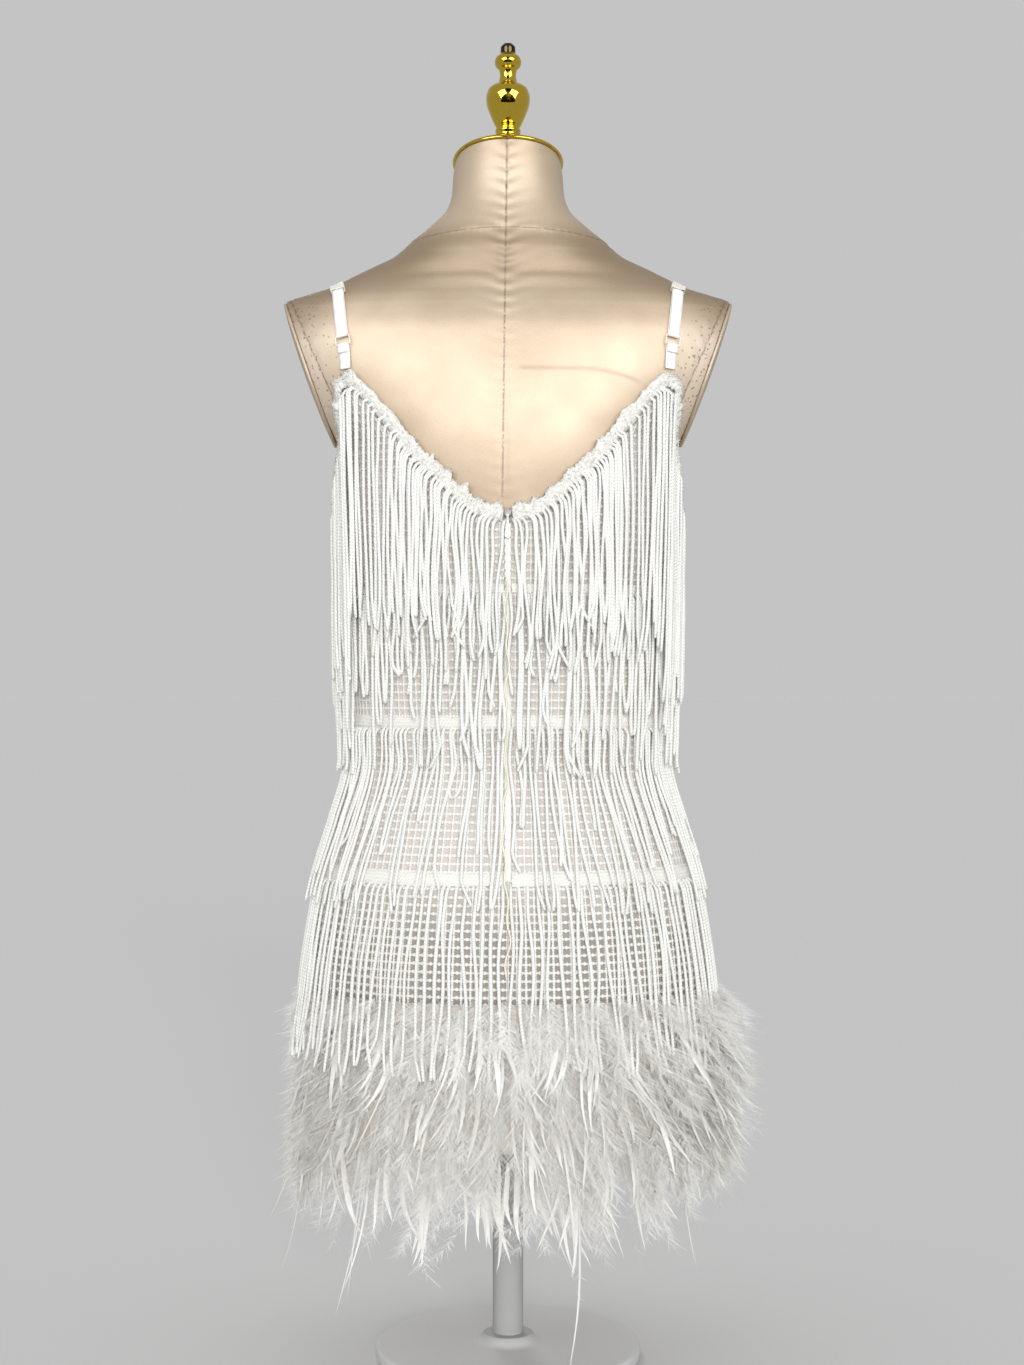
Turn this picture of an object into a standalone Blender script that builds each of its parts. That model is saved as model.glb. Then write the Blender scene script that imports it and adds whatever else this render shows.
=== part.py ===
"""Fringed mini dress with a feather hem, worn by a limbless dress form on a low round stand.

Metres, +Z up. The stand's pole is the Z axis and the floor is Z = 0. The front faces -Y, so the
zip and the low back face +Y. A turn is an angle round the body, in degrees: 0 is the centre
back, 90 is the wearer's left side (+X), 180 is the centre front and 270 is the right side (-X).
"""

import math
from collections import namedtuple

import bmesh
import bpy
from mathutils import Matrix, Vector

for old in list(bpy.data.objects):
    bpy.data.objects.remove(old, do_unlink=True)

# Driving sizes
SEAM_GAP = 0.0003          # between pieces that meet
CLOTH = 0.0015             # open knit shell with its sheer lining
UNDERSKIRT_CLOTH = 0.0012
UNDERSKIRT_TUCK = 0.0008   # inside the shell's inner face
SQUARENESS = 2.12          # of the body's sections: 2 is an ellipse, more is boxier
SHELL_HEM = 0.302
UNDERSKIRT_TOP = 0.312
UNDERSKIRT_HEM = 0.190
ZIP_FOOT = 0.400
ZIP_OPENING = 0.0020       # from the centre back line to each panel's edge, along the zip
ARM_FACE_FOOT = 0.740      # the flat armhole faces start at this height
ARM_FACE_X = 0.1385        # and at this distance from the middle
ARM_FACE_SLOPE = 0.349     # and move out this far for each unit of height
BASE_RADIUS = 0.108
BASE_HEIGHT = 0.009
POLE_RADIUS = 0.0125

Ring = namedtuple("Ring", "z half_width front back centre lean", defaults=(0.0, 0.0))

# The form's horizontal sections, from its flat underside to the tilted top of its neck. centre
# is the section's middle along Y, and lean how far it rises for each unit towards the back.
FORM_RINGS = [
    Ring(0.2480, 0.1500, 0.1000, 0.1080),
    Ring(0.3200, 0.1580, 0.1050, 0.1220),
    Ring(0.3900, 0.1480, 0.1000, 0.1120),
    Ring(0.4400, 0.1345, 0.0940, 0.0960),
    Ring(0.4900, 0.1220, 0.0880, 0.0820),
    Ring(0.5400, 0.1260, 0.0950, 0.0880),
    Ring(0.6000, 0.1300, 0.1100, 0.0950),
    Ring(0.6650, 0.1350, 0.1190, 0.1000),
    Ring(0.7400, 0.1385, 0.1090, 0.0980),
    Ring(0.7700, 0.1600, 0.0980, 0.0940),
    Ring(0.8000, 0.1820, 0.0820, 0.0880),
    Ring(0.8300, 0.1900, 0.0660, 0.0800),
    Ring(0.8500, 0.1905, 0.0530, 0.0690),
    Ring(0.8580, 0.1840, 0.0490, 0.0645),
    Ring(0.8635, 0.1680, 0.0460, 0.0620),
    Ring(0.8710, 0.1440, 0.0450, 0.0600),
    Ring(0.8770, 0.1325, 0.0450, 0.0580),
    Ring(0.8860, 0.1140, 0.0460, 0.0570),
    Ring(0.8950, 0.0950, 0.0470, 0.0560),
    Ring(0.9080, 0.0800, 0.0480, 0.0540, -0.002),
    Ring(0.9200, 0.0660, 0.0490, 0.0520, -0.004),
    Ring(0.9350, 0.0510, 0.0470, 0.0480, -0.007, 0.07),
    Ring(0.9480, 0.0465, 0.0460, 0.0460, -0.009, 0.15),
    Ring(0.9670, 0.0450, 0.0455, 0.0455, -0.012, 0.22),
    Ring(0.9760, 0.0435, 0.0450, 0.0450, -0.013, 0.24),
]

Ease = namedtuple("Ease", "z gap")

# How far the shell's inner face stands off the form, and the skirt's outer sections below it.
SHELL_EASE = [
    Ease(0.3200, 0.0030),
    Ease(0.3900, 0.0030),
    Ease(0.4900, 0.0050),
    Ease(0.6000, 0.0028),
    Ease(0.6650, 0.0018),
    Ease(0.8000, 0.0016),
]
SKIRT_RINGS = [
    Ring(0.0000, 0.1850, 0.1330, 0.1460),
    Ring(0.1500, 0.1730, 0.1220, 0.1350),
    Ring(0.1900, 0.1705, 0.1195, 0.1325),
    Ring(0.2480, 0.1665, 0.1150, 0.1290),
    Ring(0.3020, 0.1635, 0.1105, 0.1270),
]

Edge = namedtuple("Edge", "turn z")

# The dress's top edge: a deep V back, the strap's foot, the armhole, and a shallower V front.
TOP_EDGE = [
    Edge(0.0, 0.684),
    Edge(8.5, 0.688),
    Edge(15.5, 0.700),
    Edge(22.0, 0.716),
    Edge(30.0, 0.733),
    Edge(36.5, 0.755),
    Edge(40.0, 0.779),
    Edge(43.5, 0.792),
    Edge(47.5, 0.789),
    Edge(53.0, 0.775),
    Edge(58.5, 0.763),
    Edge(64.0, 0.750),
    Edge(74.0, 0.720),
    Edge(82.0, 0.692),
    Edge(90.0, 0.676),
    Edge(98.0, 0.692),
    Edge(106.0, 0.718),
    Edge(116.0, 0.745),
    Edge(121.5, 0.757),
    Edge(127.0, 0.768),
    Edge(132.5, 0.780),
    Edge(136.5, 0.783),
    Edge(140.0, 0.777),
    Edge(143.5, 0.764),
    Edge(150.0, 0.750),
    Edge(158.0, 0.735),
    Edge(164.5, 0.724),
    Edge(171.5, 0.715),
    Edge(180.0, 0.712),
]
BACK_STRAP_TURN = 43.5
FRONT_STRAP_TURN = 136.5

Finish = namedtuple("Finish", "colour roughness metallic")
IVORY_KNIT = Finish((0.80, 0.77, 0.71), 0.85, 0.0)
IVORY_LINING = Finish((0.66, 0.58, 0.53), 0.80, 0.0)
IVORY_CORD = Finish((0.86, 0.84, 0.79), 0.70, 0.0)
FEATHER = Finish((0.82, 0.80, 0.76), 0.80, 0.0)
WHITE_SATIN = Finish((0.90, 0.90, 0.88), 0.45, 0.0)
CREAM_ENAMEL = Finish((0.84, 0.82, 0.74), 0.35, 0.0)
GREY_METAL = Finish((0.20, 0.19, 0.18), 0.40, 1.0)
FORM_SATIN = Finish((0.72, 0.58, 0.47), 0.45, 0.0)
GOLD = Finish((0.83, 0.62, 0.16), 0.15, 1.0)
PALE_STEEL = Finish((0.72, 0.72, 0.70), 0.45, 0.0)


def between(rows, column, x):
    """A smooth curve through a table's rows that never overshoots them, read at x."""
    xs = [row[0] for row in rows]
    ys = [getattr(row, column) for row in rows]
    if x <= xs[0]:
        return ys[0]
    if x >= xs[-1]:
        return ys[-1]
    i = max(k for k in range(len(xs) - 1) if xs[k] <= x)

    def slope(k):
        if k == 0 or k == len(xs) - 1:
            return 0.0
        before = (ys[k] - ys[k - 1]) / (xs[k] - xs[k - 1])
        after = (ys[k + 1] - ys[k]) / (xs[k + 1] - xs[k])
        if before * after <= 0:
            return 0.0
        return 2 * before * after / (before + after)

    step = xs[i + 1] - xs[i]
    t = (x - xs[i]) / step
    return (
        (2 * t**3 - 3 * t**2 + 1) * ys[i]
        + (t**3 - 2 * t**2 + t) * step * slope(i)
        + (3 * t**2 - 2 * t**3) * ys[i + 1]
        + (t**3 - t**2) * step * slope(i + 1)
    )


def eased(ring):
    grow = between(SHELL_EASE, "gap", ring.z) + CLOTH
    return Ring(ring.z, ring.half_width + grow, ring.front + grow, ring.back + grow)


DRESS_RINGS = SKIRT_RINGS + [eased(ring) for ring in FORM_RINGS if SHELL_HEM < ring.z < 0.86]

BUST_Z = 0.662
BUST_TURN = 33.0           # each side of the centre front
BUST_RISE = 0.014
BUST_HALF_TURN = 22.0
BUST_HALF_HEIGHT = 0.050


def bust(heading, z):
    """How far the two soft bust forms stand out, in a direction from the pole."""
    from_front = 180.0 - abs(math.degrees(heading))
    across = math.exp(-(((from_front - BUST_TURN) / BUST_HALF_TURN) ** 2))
    up = math.exp(-(((z - BUST_Z) / BUST_HALF_HEIGHT) ** 2))
    return BUST_RISE * across * up


def radius(rings, heading, z):
    """The section's radius at height z, in the direction heading (radians from +Y towards +X)."""
    width = between(rings, "half_width", z)
    depth = between(rings, "back" if math.cos(heading) >= 0 else "front", z)
    n = SQUARENESS
    shape = (abs(math.sin(heading)) / width) ** n + (abs(math.cos(heading)) / depth) ** n
    return shape ** (-1 / n) + bust(heading, z)


def body_point(rings, turn, z, out=0.0):
    """The point of the section at that turn and height, moved out from the body."""
    a = math.radians(turn)
    width = between(rings, "half_width", z)
    depth = between(rings, "back" if math.cos(a) >= 0 else "front", z)
    heading = math.atan2(math.sin(a) * width, math.cos(a) * depth)
    reach = radius(rings, heading, z) + out
    y = reach * math.cos(heading)
    rise = between(rings, "lean", z) * y
    return Vector((reach * math.sin(heading), y + between(rings, "centre", z), z + rise))


def dress_point(turn, z, out=0.0):
    return body_point(DRESS_RINGS, turn, z, out)


def under_point(turn, z, out=0.0):
    """The underskirt's outer face: it lies just inside the shell's hem."""
    return dress_point(turn, z, out - CLOTH - UNDERSKIRT_TUCK)


def make_object(name, bm, look, smooth=True):
    """Turns a bmesh into a named object with its own material and its faces pointing out."""
    bmesh.ops.recalc_face_normals(bm, faces=bm.faces[:])
    mesh = bpy.data.meshes.new(name)
    bm.to_mesh(mesh)
    bm.free()
    if smooth:
        mesh.shade_smooth()
        mesh.set_sharp_from_angle(angle=math.radians(40))
    mesh.materials.append(material_for(name, look))
    made = bpy.data.objects.new(name, mesh)
    bpy.context.scene.collection.objects.link(made)
    return made


def material_for(name, look):
    material = bpy.data.materials.new(name)
    material.use_nodes = True
    shader = material.node_tree.nodes["Principled BSDF"]
    shader.inputs["Base Color"].default_value = (*look.colour, 1.0)
    shader.inputs["Roughness"].default_value = look.roughness
    shader.inputs["Metallic"].default_value = look.metallic
    return material


def loft(bm, loops):
    """Skins closed loops of points that have the same count, and caps the two ends."""
    rings = [[bm.verts.new(point) for point in loop] for loop in loops]
    for low, high in zip(rings, rings[1:]):
        for k in range(len(low)):
            n = (k + 1) % len(low)
            bm.faces.new((low[k], low[n], high[n], high[k]))
    bm.faces.new(rings[0][::-1])
    bm.faces.new(rings[-1])


def wall(name, columns, look):
    """A closed cloth wall. Each column is a list of (outer point, inner point), hem to top."""
    bm = bmesh.new()
    grid = [[(bm.verts.new(o), bm.verts.new(i)) for o, i in column] for column in columns]
    for left, right in zip(grid, grid[1:]):
        for k in range(len(left) - 1):
            bm.faces.new((left[k][0], right[k][0], right[k + 1][0], left[k + 1][0]))
            bm.faces.new((left[k][1], left[k + 1][1], right[k + 1][1], right[k][1]))
        bm.faces.new((left[0][0], left[0][1], right[0][1], right[0][0]))
        bm.faces.new((left[-1][0], right[-1][0], right[-1][1], left[-1][1]))
    for edge in (grid[0], grid[-1]):
        for k in range(len(edge) - 1):
            bm.faces.new((edge[k][0], edge[k + 1][0], edge[k + 1][1], edge[k][1]))
    return make_object(name, bm, look)


def turned(name, profile, look, sides, centre=(0.0, 0.0)):
    """A solid of revolution about a vertical line. The profile is (radius, z) from foot to top."""
    bm = bmesh.new()
    loops = []
    for r, z in profile:
        loop = []
        for k in range(sides):
            a = 2 * math.pi * k / sides
            loop.append(Vector((centre[0] + r * math.cos(a), centre[1] + r * math.sin(a), z)))
        loops.append(loop)
    loft(bm, loops)
    return make_object(name, bm, look)


# The dress form: a foam torso under satin, cut flat at the armholes, the neck and the underside.
FORM_TURNS = [
    0.0, 8.5, 18.0, 28.0, 36.5, 43.5, 53.0, 64.0, 74.0, 82.0,
    90.0, 98.0, 106.0, 116.0, 127.0, 136.5, 143.5, 152.0, 162.0, 171.5, 180.0,
]
FORM_ROWS = [
    0.248, 0.284, 0.320, 0.360, 0.402, 0.445, 0.483, 0.530, 0.580, 0.625, 0.665, 0.705, 0.740,
    0.755, 0.772, 0.792, 0.815, 0.836, 0.850, 0.858, 0.8635, 0.871, 0.878, 0.8875, 0.898, 0.912,
    0.930, 0.950, 0.976,
]


def all_round(turns):
    """Turns from centre back to centre front, carried on round the other side."""
    return turns + [360.0 - t for t in reversed(turns[1:-1])]


def form_loop(z):
    return [body_point(FORM_RINGS, turn, z) for turn in all_round(FORM_TURNS)]


def cut_arm_face(bm, side):
    """Cuts the shoulder flat at one armhole, closes the cut, and gives back its outline."""
    normal = Vector((side, 0.0, -ARM_FACE_SLOPE)).normalized()
    faces = [f for f in bm.faces if all(v.co.z > ARM_FACE_FOOT - 1e-5 for v in f.verts)]
    edges = {e for f in faces for e in f.edges}
    geometry = faces + list(edges) + list({v for e in edges for v in e.verts})
    cut = bmesh.ops.bisect_plane(
        bm, geom=geometry, dist=1e-5, plane_co=(side * ARM_FACE_X, 0.0, ARM_FACE_FOOT),
        plane_no=normal, clear_outer=True,
    )["geom_cut"]
    bmesh.ops.holes_fill(bm, edges=[e for e in bm.edges if e.is_boundary], sides=0)
    points = [v.co.copy() for v in cut if isinstance(v, bmesh.types.BMVert)]
    centre = sum(points, Vector()) / len(points)
    points.sort(key=lambda p: math.atan2(p.y - centre.y, p.z - centre.z))
    return centre, points, normal


# Each loop of a padded plate: its size against the flat face, and its height off that face.
PLATE_LOOPS = ((0.985, 0.0), (0.995, 0.0016), (0.94, 0.0030), (0.55, 0.0050))


def make_arm_plate(name, outline):
    """A padded cover, seated on a flat armhole face and crowned outwards."""
    centre, points, normal = outline
    bm = bmesh.new()
    loft(bm, [
        [centre + (p - centre) * share + normal * (SEAM_GAP + height) for p in points]
        for share, height in PLATE_LOOPS
    ])
    make_object(name, bm, FORM_SATIN)


def make_torso():
    bm = bmesh.new()
    loft(bm, [form_loop(z) for z in FORM_ROWS])
    outlines = [cut_arm_face(bm, side) for side in (1, -1)]
    make_object("form_torso", bm, FORM_SATIN)
    make_arm_plate("arm_plate_left", outlines[0])
    make_arm_plate("arm_plate_right", outlines[1])


# Each loop of the gold cap: its size against the neck's top, and its height off it.
CAP_LOOPS = ((1.03, 0.0), (1.05, 0.0012), (1.03, 0.0030), (0.80, 0.0085))
FINIAL_SEAT = 0.0145       # radius of the cap's level top, which carries the finial

Bead = namedtuple("Bead", "z radius")

# The turned finial's profile, from the cap up.
FINIAL = [
    Bead(0.9925, 0.0130), Bead(0.9965, 0.0130), Bead(1.0010, 0.0100), Bead(1.0045, 0.0105),
    Bead(1.0060, 0.0097), Bead(1.0100, 0.0115), Bead(1.0180, 0.0150), Bead(1.0255, 0.0176),
    Bead(1.0310, 0.0182), Bead(1.0380, 0.0165), Bead(1.0420, 0.0120), Bead(1.0440, 0.0080),
    Bead(1.0500, 0.0067), Bead(1.0540, 0.0072), Bead(1.0575, 0.0102), Bead(1.0610, 0.0110),
    Bead(1.0650, 0.0098), Bead(1.0680, 0.0064), Bead(1.0735, 0.0060), Bead(1.0760, 0.0040),
]


def make_neck_cap():
    """A low gold dome on the tilted neck, and the turned finial that stands on it."""
    rim = form_loop(FORM_ROWS[-1])
    centre = sum(rim, Vector()) / len(rim)
    up = Vector((0.0, -FORM_RINGS[-1].lean, 1.0)).normalized()
    loops = [
        [centre + (p - centre) * share + up * (height + SEAM_GAP) for p in rim]
        for share, height in CAP_LOOPS
    ]
    seat = []
    for p in rim:
        flat = Vector((p.x, p.y - centre.y, 0.0)).normalized() * FINIAL_SEAT
        seat.append(Vector((flat.x, flat.y + centre.y, FINIAL[0].z - SEAM_GAP)))
    bm = bmesh.new()
    loft(bm, loops + [seat])
    make_object("neck_cap", bm, GOLD)
    turned("finial", [(bead.radius, bead.z) for bead in FINIAL], GOLD, 14, (0.0, centre.y))


def make_stand():
    """A round steel foot, and a pole that ends at the flat underside of the form."""
    foot = [
        (BASE_RADIUS, 0.0), (BASE_RADIUS, BASE_HEIGHT - 0.003), (BASE_RADIUS - 0.003, BASE_HEIGHT),
        (0.030, BASE_HEIGHT + 0.001), (0.020, BASE_HEIGHT + 0.008),
    ]
    turned("stand_base", foot, PALE_STEEL, 32)
    low, high = foot[-1][1] + SEAM_GAP, FORM_ROWS[0] - SEAM_GAP
    turned("stand_pole", [(POLE_RADIUS, low), (POLE_RADIUS, high)], PALE_STEEL, 16)


# The shell: one front and two backs, cut from open knit, that meet at the sides and the zip.
SHELL_ROWS = [0.302, 0.334, 0.368, 0.405, 0.445, 0.483, 0.513, 0.550, 0.600, 0.650]
TOP_STEPS = 6


def top_edge_z(turn):
    around = turn % 360.0
    return between(TOP_EDGE, "z", min(around, 360.0 - around))


def shell_column(turn, shift):
    """One column of a panel, hem to top. shift(z) moves it along the section."""
    top = top_edge_z(turn)
    last = SHELL_ROWS[-1]
    heights = SHELL_ROWS + [last + (top - last) * k / TOP_STEPS for k in range(1, TOP_STEPS + 1)]
    column = []
    for z in heights:
        along = (dress_point(turn + 1.0, z) - dress_point(turn - 1.0, z)).normalized()
        slide = along * shift(z)
        column.append((dress_point(turn, z) + slide, dress_point(turn, z, -CLOTH) + slide))
    return column


def side_seam(direction):
    return lambda z: direction * SEAM_GAP / 2


def zip_edge(direction):
    """The centre back edge: it closes below the zip and leaves room for the zip above."""
    return lambda z: direction * (ZIP_OPENING if z > ZIP_FOOT else SEAM_GAP / 2)


def make_panel(name, turns, first_edge, last_edge):
    columns = []
    for k, turn in enumerate(turns):
        shift = first_edge if k == 0 else last_edge if k == len(turns) - 1 else side_seam(0)
        columns.append(shell_column(turn, shift))
    wall(name, columns, IVORY_KNIT)


def make_shell():
    turns = [edge.turn for edge in TOP_EDGE]
    left = [t for t in turns if t <= 90.0]
    front = [t for t in all_round(turns) if 90.0 <= t <= 270.0]
    right = [360.0 - t for t in reversed(left)]
    make_panel("shell_back_left", left, zip_edge(1), side_seam(-1))
    make_panel("shell_front", front, side_seam(1), side_seam(-1))
    make_panel("shell_back_right", right, side_seam(1), zip_edge(-1))


UNDERSKIRT_ROWS = [UNDERSKIRT_HEM, 0.232, 0.274, UNDERSKIRT_TOP]


def make_underskirt():
    """The plain under layer that shows below the shell and carries the feathers."""
    turns = [t for t in all_round(FORM_TURNS) if t <= 270.0]
    back = [t - 360.0 for t in all_round(FORM_TURNS) if t >= 270.0] + [t for t in turns if t <= 90.0]
    front = [t for t in turns if t >= 90.0]
    for name, part in (("underskirt_back", back), ("underskirt_front", front)):
        columns = []
        for k, turn in enumerate(part):
            shift = SEAM_GAP / 2 if k == 0 else -SEAM_GAP / 2 if k == len(part) - 1 else 0.0
            column = []
            for z in UNDERSKIRT_ROWS:
                along = (under_point(turn + 1.0, z) - under_point(turn - 1.0, z)).normalized() * shift
                inner = under_point(turn, z, -UNDERSKIRT_CLOTH)
                column.append((under_point(turn, z) + along, inner + along))
            columns.append(column)
        wall(name, columns, IVORY_LINING)


# Fringe and feathers: a narrow strip laid on the cloth, with its strands drawn from the strip.
STRIP_CLOTH = 0.0012

Section = namedtuple("Section", "centre half_width half_depth")
Clear = namedtuple("Clear", "z out")


def evenly_spaced(points, count):
    """Turns at equal distances along a line of (turn, point) pairs."""
    runs = [0.0]
    for a, b in zip(points, points[1:]):
        runs.append(runs[-1] + (b[1] - a[1]).length)
    made = []
    for k in range(count):
        want = runs[-1] * k / (count - 1)
        i = max(j for j in range(len(runs) - 1) if runs[j] <= want + 1e-9)
        share = (want - runs[i]) / (runs[i + 1] - runs[i])
        made.append(points[i][0] + (points[i + 1][0] - points[i][0]) * min(1.0, share))
    return made


def comb(name, look, first, last, strands, gaps, strip, height, lift, place, drop):
    """A strip from turn first to turn last, with strands that hang from its lower edge.

    gaps is the number of bare lengths of strip between strands, strip(turn) the strip's lower
    edge, lift the room under the strip, place(turn, z, out) a point off the cloth, and
    drop(index, root, along, out) the sections down one strand.
    """
    dense = [first + (last - first) * k / 240 for k in range(241)]
    count = strands * (gaps + 1) + gaps + 1
    stations = evenly_spaced([(t, place(t, strip(t), 0.0)) for t in dense], count)
    bm = bmesh.new()
    near, far = lift, lift + STRIP_CLOTH
    posts = []
    for t in stations:
        low, high = strip(t), strip(t) + height
        corners = place(t, low, near), place(t, low, far), place(t, high, far), place(t, high, near)
        posts.append([bm.verts.new(corner) for corner in corners])
    for k, (a, b) in enumerate(zip(posts, posts[1:])):
        bm.faces.new((a[1], b[1], b[2], a[2]))
        bm.faces.new((a[0], a[3], b[3], b[0]))
        bm.faces.new((a[2], b[2], b[3], a[3]))
        if k % (gaps + 1) != gaps:
            bm.faces.new((a[0], b[0], b[1], a[1]))
            continue
        root = (a[0].co + a[1].co + b[0].co + b[1].co) / 4
        along = b[1].co - a[1].co
        along = Vector((along.x, along.y, 0.0)).normalized()
        out = along.cross(Vector((0.0, 0.0, 1.0)))
        if out.dot(Vector((root.x, root.y, 0.0))) < 0:
            out = -out
        ring = [a[0], a[1], b[1], b[0]]
        for part in drop(k // (gaps + 1), root, along, out):
            side, deep = along * part.half_width, out * part.half_depth
            corners = (-side - deep, -side + deep, side + deep, side - deep)
            below = [bm.verts.new(part.centre + corner) for corner in corners]
            for j in range(4):
                n = (j + 1) % 4
                bm.faces.new((ring[j], ring[n], below[n], below[j]))
            ring = below
        bm.faces.new(ring)
    bm.faces.new(posts[0])
    bm.faces.new(posts[-1])
    return make_object(name, bm, look, smooth=False)


def ripple(index, salt):
    """An irregular number from -1 to 1 that depends on the strand's place in its row."""
    return math.sin(index * 2.399 + salt * 1.7) * math.cos(index * 1.137 + salt * 3.1)


FRINGE_HALF_DEPTH = 0.0010
EDGE_HALF_WIDTH = 0.0036   # of one bunch of cords in the edge fringe
TIER_HALF_WIDTH = 0.0045   # of one bunch of cords in the straight tiers
EDGE_UNEVEN = 0.014
SWING_IN = 0.03            # a strand drifts this far back towards the body for each unit of fall


def hanging(half_width, foot, uneven, steps, clear, salt):
    """Strands that fall straight, kept off whatever cloth is below by the table clear."""

    def drop(index, root, along, out):
        low = foot(index) + uneven * ripple(index, salt)
        x, y = root.x, root.y
        parts = []
        for k in range(1, steps + 1):
            z = root.z + (low - root.z) * k / steps
            least = radius(DRESS_RINGS, math.atan2(x, y), z) + between(clear, "out", z)
            here = math.hypot(x, y)
            drift = SWING_IN * (root.z - low) / steps
            want = max(least + FRINGE_HALF_DEPTH, here - drift)
            x, y = x * want / here, y * want / here
            tip = k == steps
            half = half_width * (0.75 if tip else 1.0)
            parts.append(Section(Vector((x, y, z)), half, FRINGE_HALF_DEPTH * (0.8 if tip else 1.0)))
        return parts

    return drop


EDGE_STRIP = 0.007
NECK_CLEAR = [
    Clear(0.520, 0.0085), Clear(0.600, 0.0068), Clear(0.640, 0.0050), Clear(0.690, 0.0034),
    Clear(0.740, 0.0034), Clear(0.790, 0.0014),
]


def below_edge(turn):
    return top_edge_z(turn) - EDGE_STRIP - 0.001


EdgeFringe = namedtuple("EdgeFringe", "name first last strands gaps steps lift foot fall salt")

# foot is where the first strand ends, and fall how much lower or higher the last one does.
EDGE_FRINGES = [
    EdgeFringe("fringe_neck_back_left", 3.4, 41.5, 9, 1, 3, 0.0009, 0.552, 0.040, 1),
    EdgeFringe("fringe_neck_back_right", 356.6, 318.5, 9, 1, 3, 0.0009, 0.552, 0.040, 1),
    EdgeFringe("fringe_neck_front", 138.5, 221.5, 14, 1, 5, 0.0009, 0.575, 0.000, 2),
    EdgeFringe("fringe_armhole_left", 49.5, 130.5, 6, 3, 4, 0.0029, 0.560, 0.000, 3),
    EdgeFringe("fringe_armhole_right", 310.5, 229.5, 6, 3, 4, 0.0029, 0.560, 0.000, 3),
]


def make_edge_fringes():
    """Fringe sewn round the top edge: the V back, the V front and the armholes."""
    for row in EDGE_FRINGES:
        drop = hanging(
            EDGE_HALF_WIDTH, lambda index, row=row: row.foot + row.fall * index / row.strands,
            EDGE_UNEVEN, row.steps, NECK_CLEAR, row.salt,
        )
        comb(row.name, IVORY_CORD, row.first, row.last, row.strands, row.gaps, below_edge,
             EDGE_STRIP, row.lift, dress_point, drop)


Tier = namedtuple("Tier", "name z foot uneven strands lift clear salt")
TIERS = [
    Tier("fringe_tier_bust", 0.622, 0.500, 0.034, 21, 0.0008,
         [Clear(0.466, 0.0062), Clear(0.520, 0.0046), Clear(0.622, 0.0004)], 4),
    Tier("fringe_tier_waist", 0.513, 0.416, 0.045, 21, 0.0014,
         [Clear(0.365, 0.0048), Clear(0.400, 0.0032), Clear(0.466, 0.0012), Clear(0.513, 0.0004)], 5),
    Tier("fringe_tier_hip", 0.393, 0.254, 0.010, 23, 0.0008,
         [Clear(0.240, 0.0125), Clear(0.270, 0.0095), Clear(0.305, 0.0045), Clear(0.350, 0.0016),
          Clear(0.393, 0.0005)], 6),
]
ZIP_ROOM = 3.2             # degrees left free on each side of the zip
TIER_STRIP = 0.007


def make_tiers():
    """Three straight tiers of fringe round the bust, waist and hip, open at the zip."""
    for tier in TIERS:
        drop = hanging(
            TIER_HALF_WIDTH, lambda index, tier=tier: tier.foot, tier.uneven, 3, tier.clear, tier.salt
        )
        comb(tier.name, IVORY_CORD, ZIP_ROOM, 360.0 - ZIP_ROOM, tier.strands, 1,
             lambda turn, tier=tier: tier.z, TIER_STRIP, tier.lift, dress_point, drop)


FeatherRow = namedtuple("FeatherRow", "name z length strands flare salt")
FEATHER_ROWS = [
    FeatherRow("feathers_upper", 0.291, 0.105, 25, 0.032, 7),
    FeatherRow("feathers_middle", 0.242, 0.105, 25, 0.034, 8),
    FeatherRow("feathers_lower", 0.194, 0.105, 25, 0.034, 9),
]
FEATHER_STRIP = 0.008
FEATHER_LIFT = 0.0006
LONG_EVERY = 6             # one lock in this many is a long wisp
LONG_SHARE = 1.38

Blade = namedtuple("Blade", "along half_width half_depth flare")

# One lock from root to tip: the share of its length, its sizes there and its share of the flare.
BLADES = [
    Blade(0.34, 0.0105, 0.0012, 0.16),
    Blade(0.70, 0.0090, 0.0011, 0.52),
    Blade(1.00, 0.0014, 0.0006, 1.00),
]


def plume(row):
    """Feather locks: flat blades that leave the strip, flare out and end in a thin tip."""

    def drop(index, root, along, out):
        long = index % LONG_EVERY == row.salt % LONG_EVERY
        length = row.length * (LONG_SHARE if long else 1.0 + 0.10 * ripple(index, row.salt))
        flare = row.flare * (1.15 if long else 1.0 + 0.18 * ripple(index, row.salt + 5))
        parts = []
        for blade in BLADES:
            sway = along * (0.004 * ripple(index, row.salt + 9) * blade.along)
            centre = root + out * (flare * blade.flare + 0.0010) + sway
            centre.z = root.z - length * blade.along
            parts.append(Section(centre, blade.half_width, blade.half_depth))
        return parts

    return drop


def make_feathers():
    for row in FEATHER_ROWS:
        comb(row.name, FEATHER, 1.5, 358.5, row.strands, 1, lambda turn, row=row: row.z,
             FEATHER_STRIP, FEATHER_LIFT, under_point, plume(row))


# Straps: a short piece, a ring, and a long piece that doubles back through its slide.
STRAP_WIDTH = 0.0090
STRAP_CLOTH = 0.0008
SHOULDER_Z = 0.785         # the middle of the turn that the strap makes over the shoulder
STRAP_TOP_X = 0.138

Lay = namedtuple("Lay", "angle x")


def inside_form(x, y, z):
    y -= between(FORM_RINGS, "centre", z)
    return math.hypot(x, y) < radius(FORM_RINGS, math.atan2(x, y), z)


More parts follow.
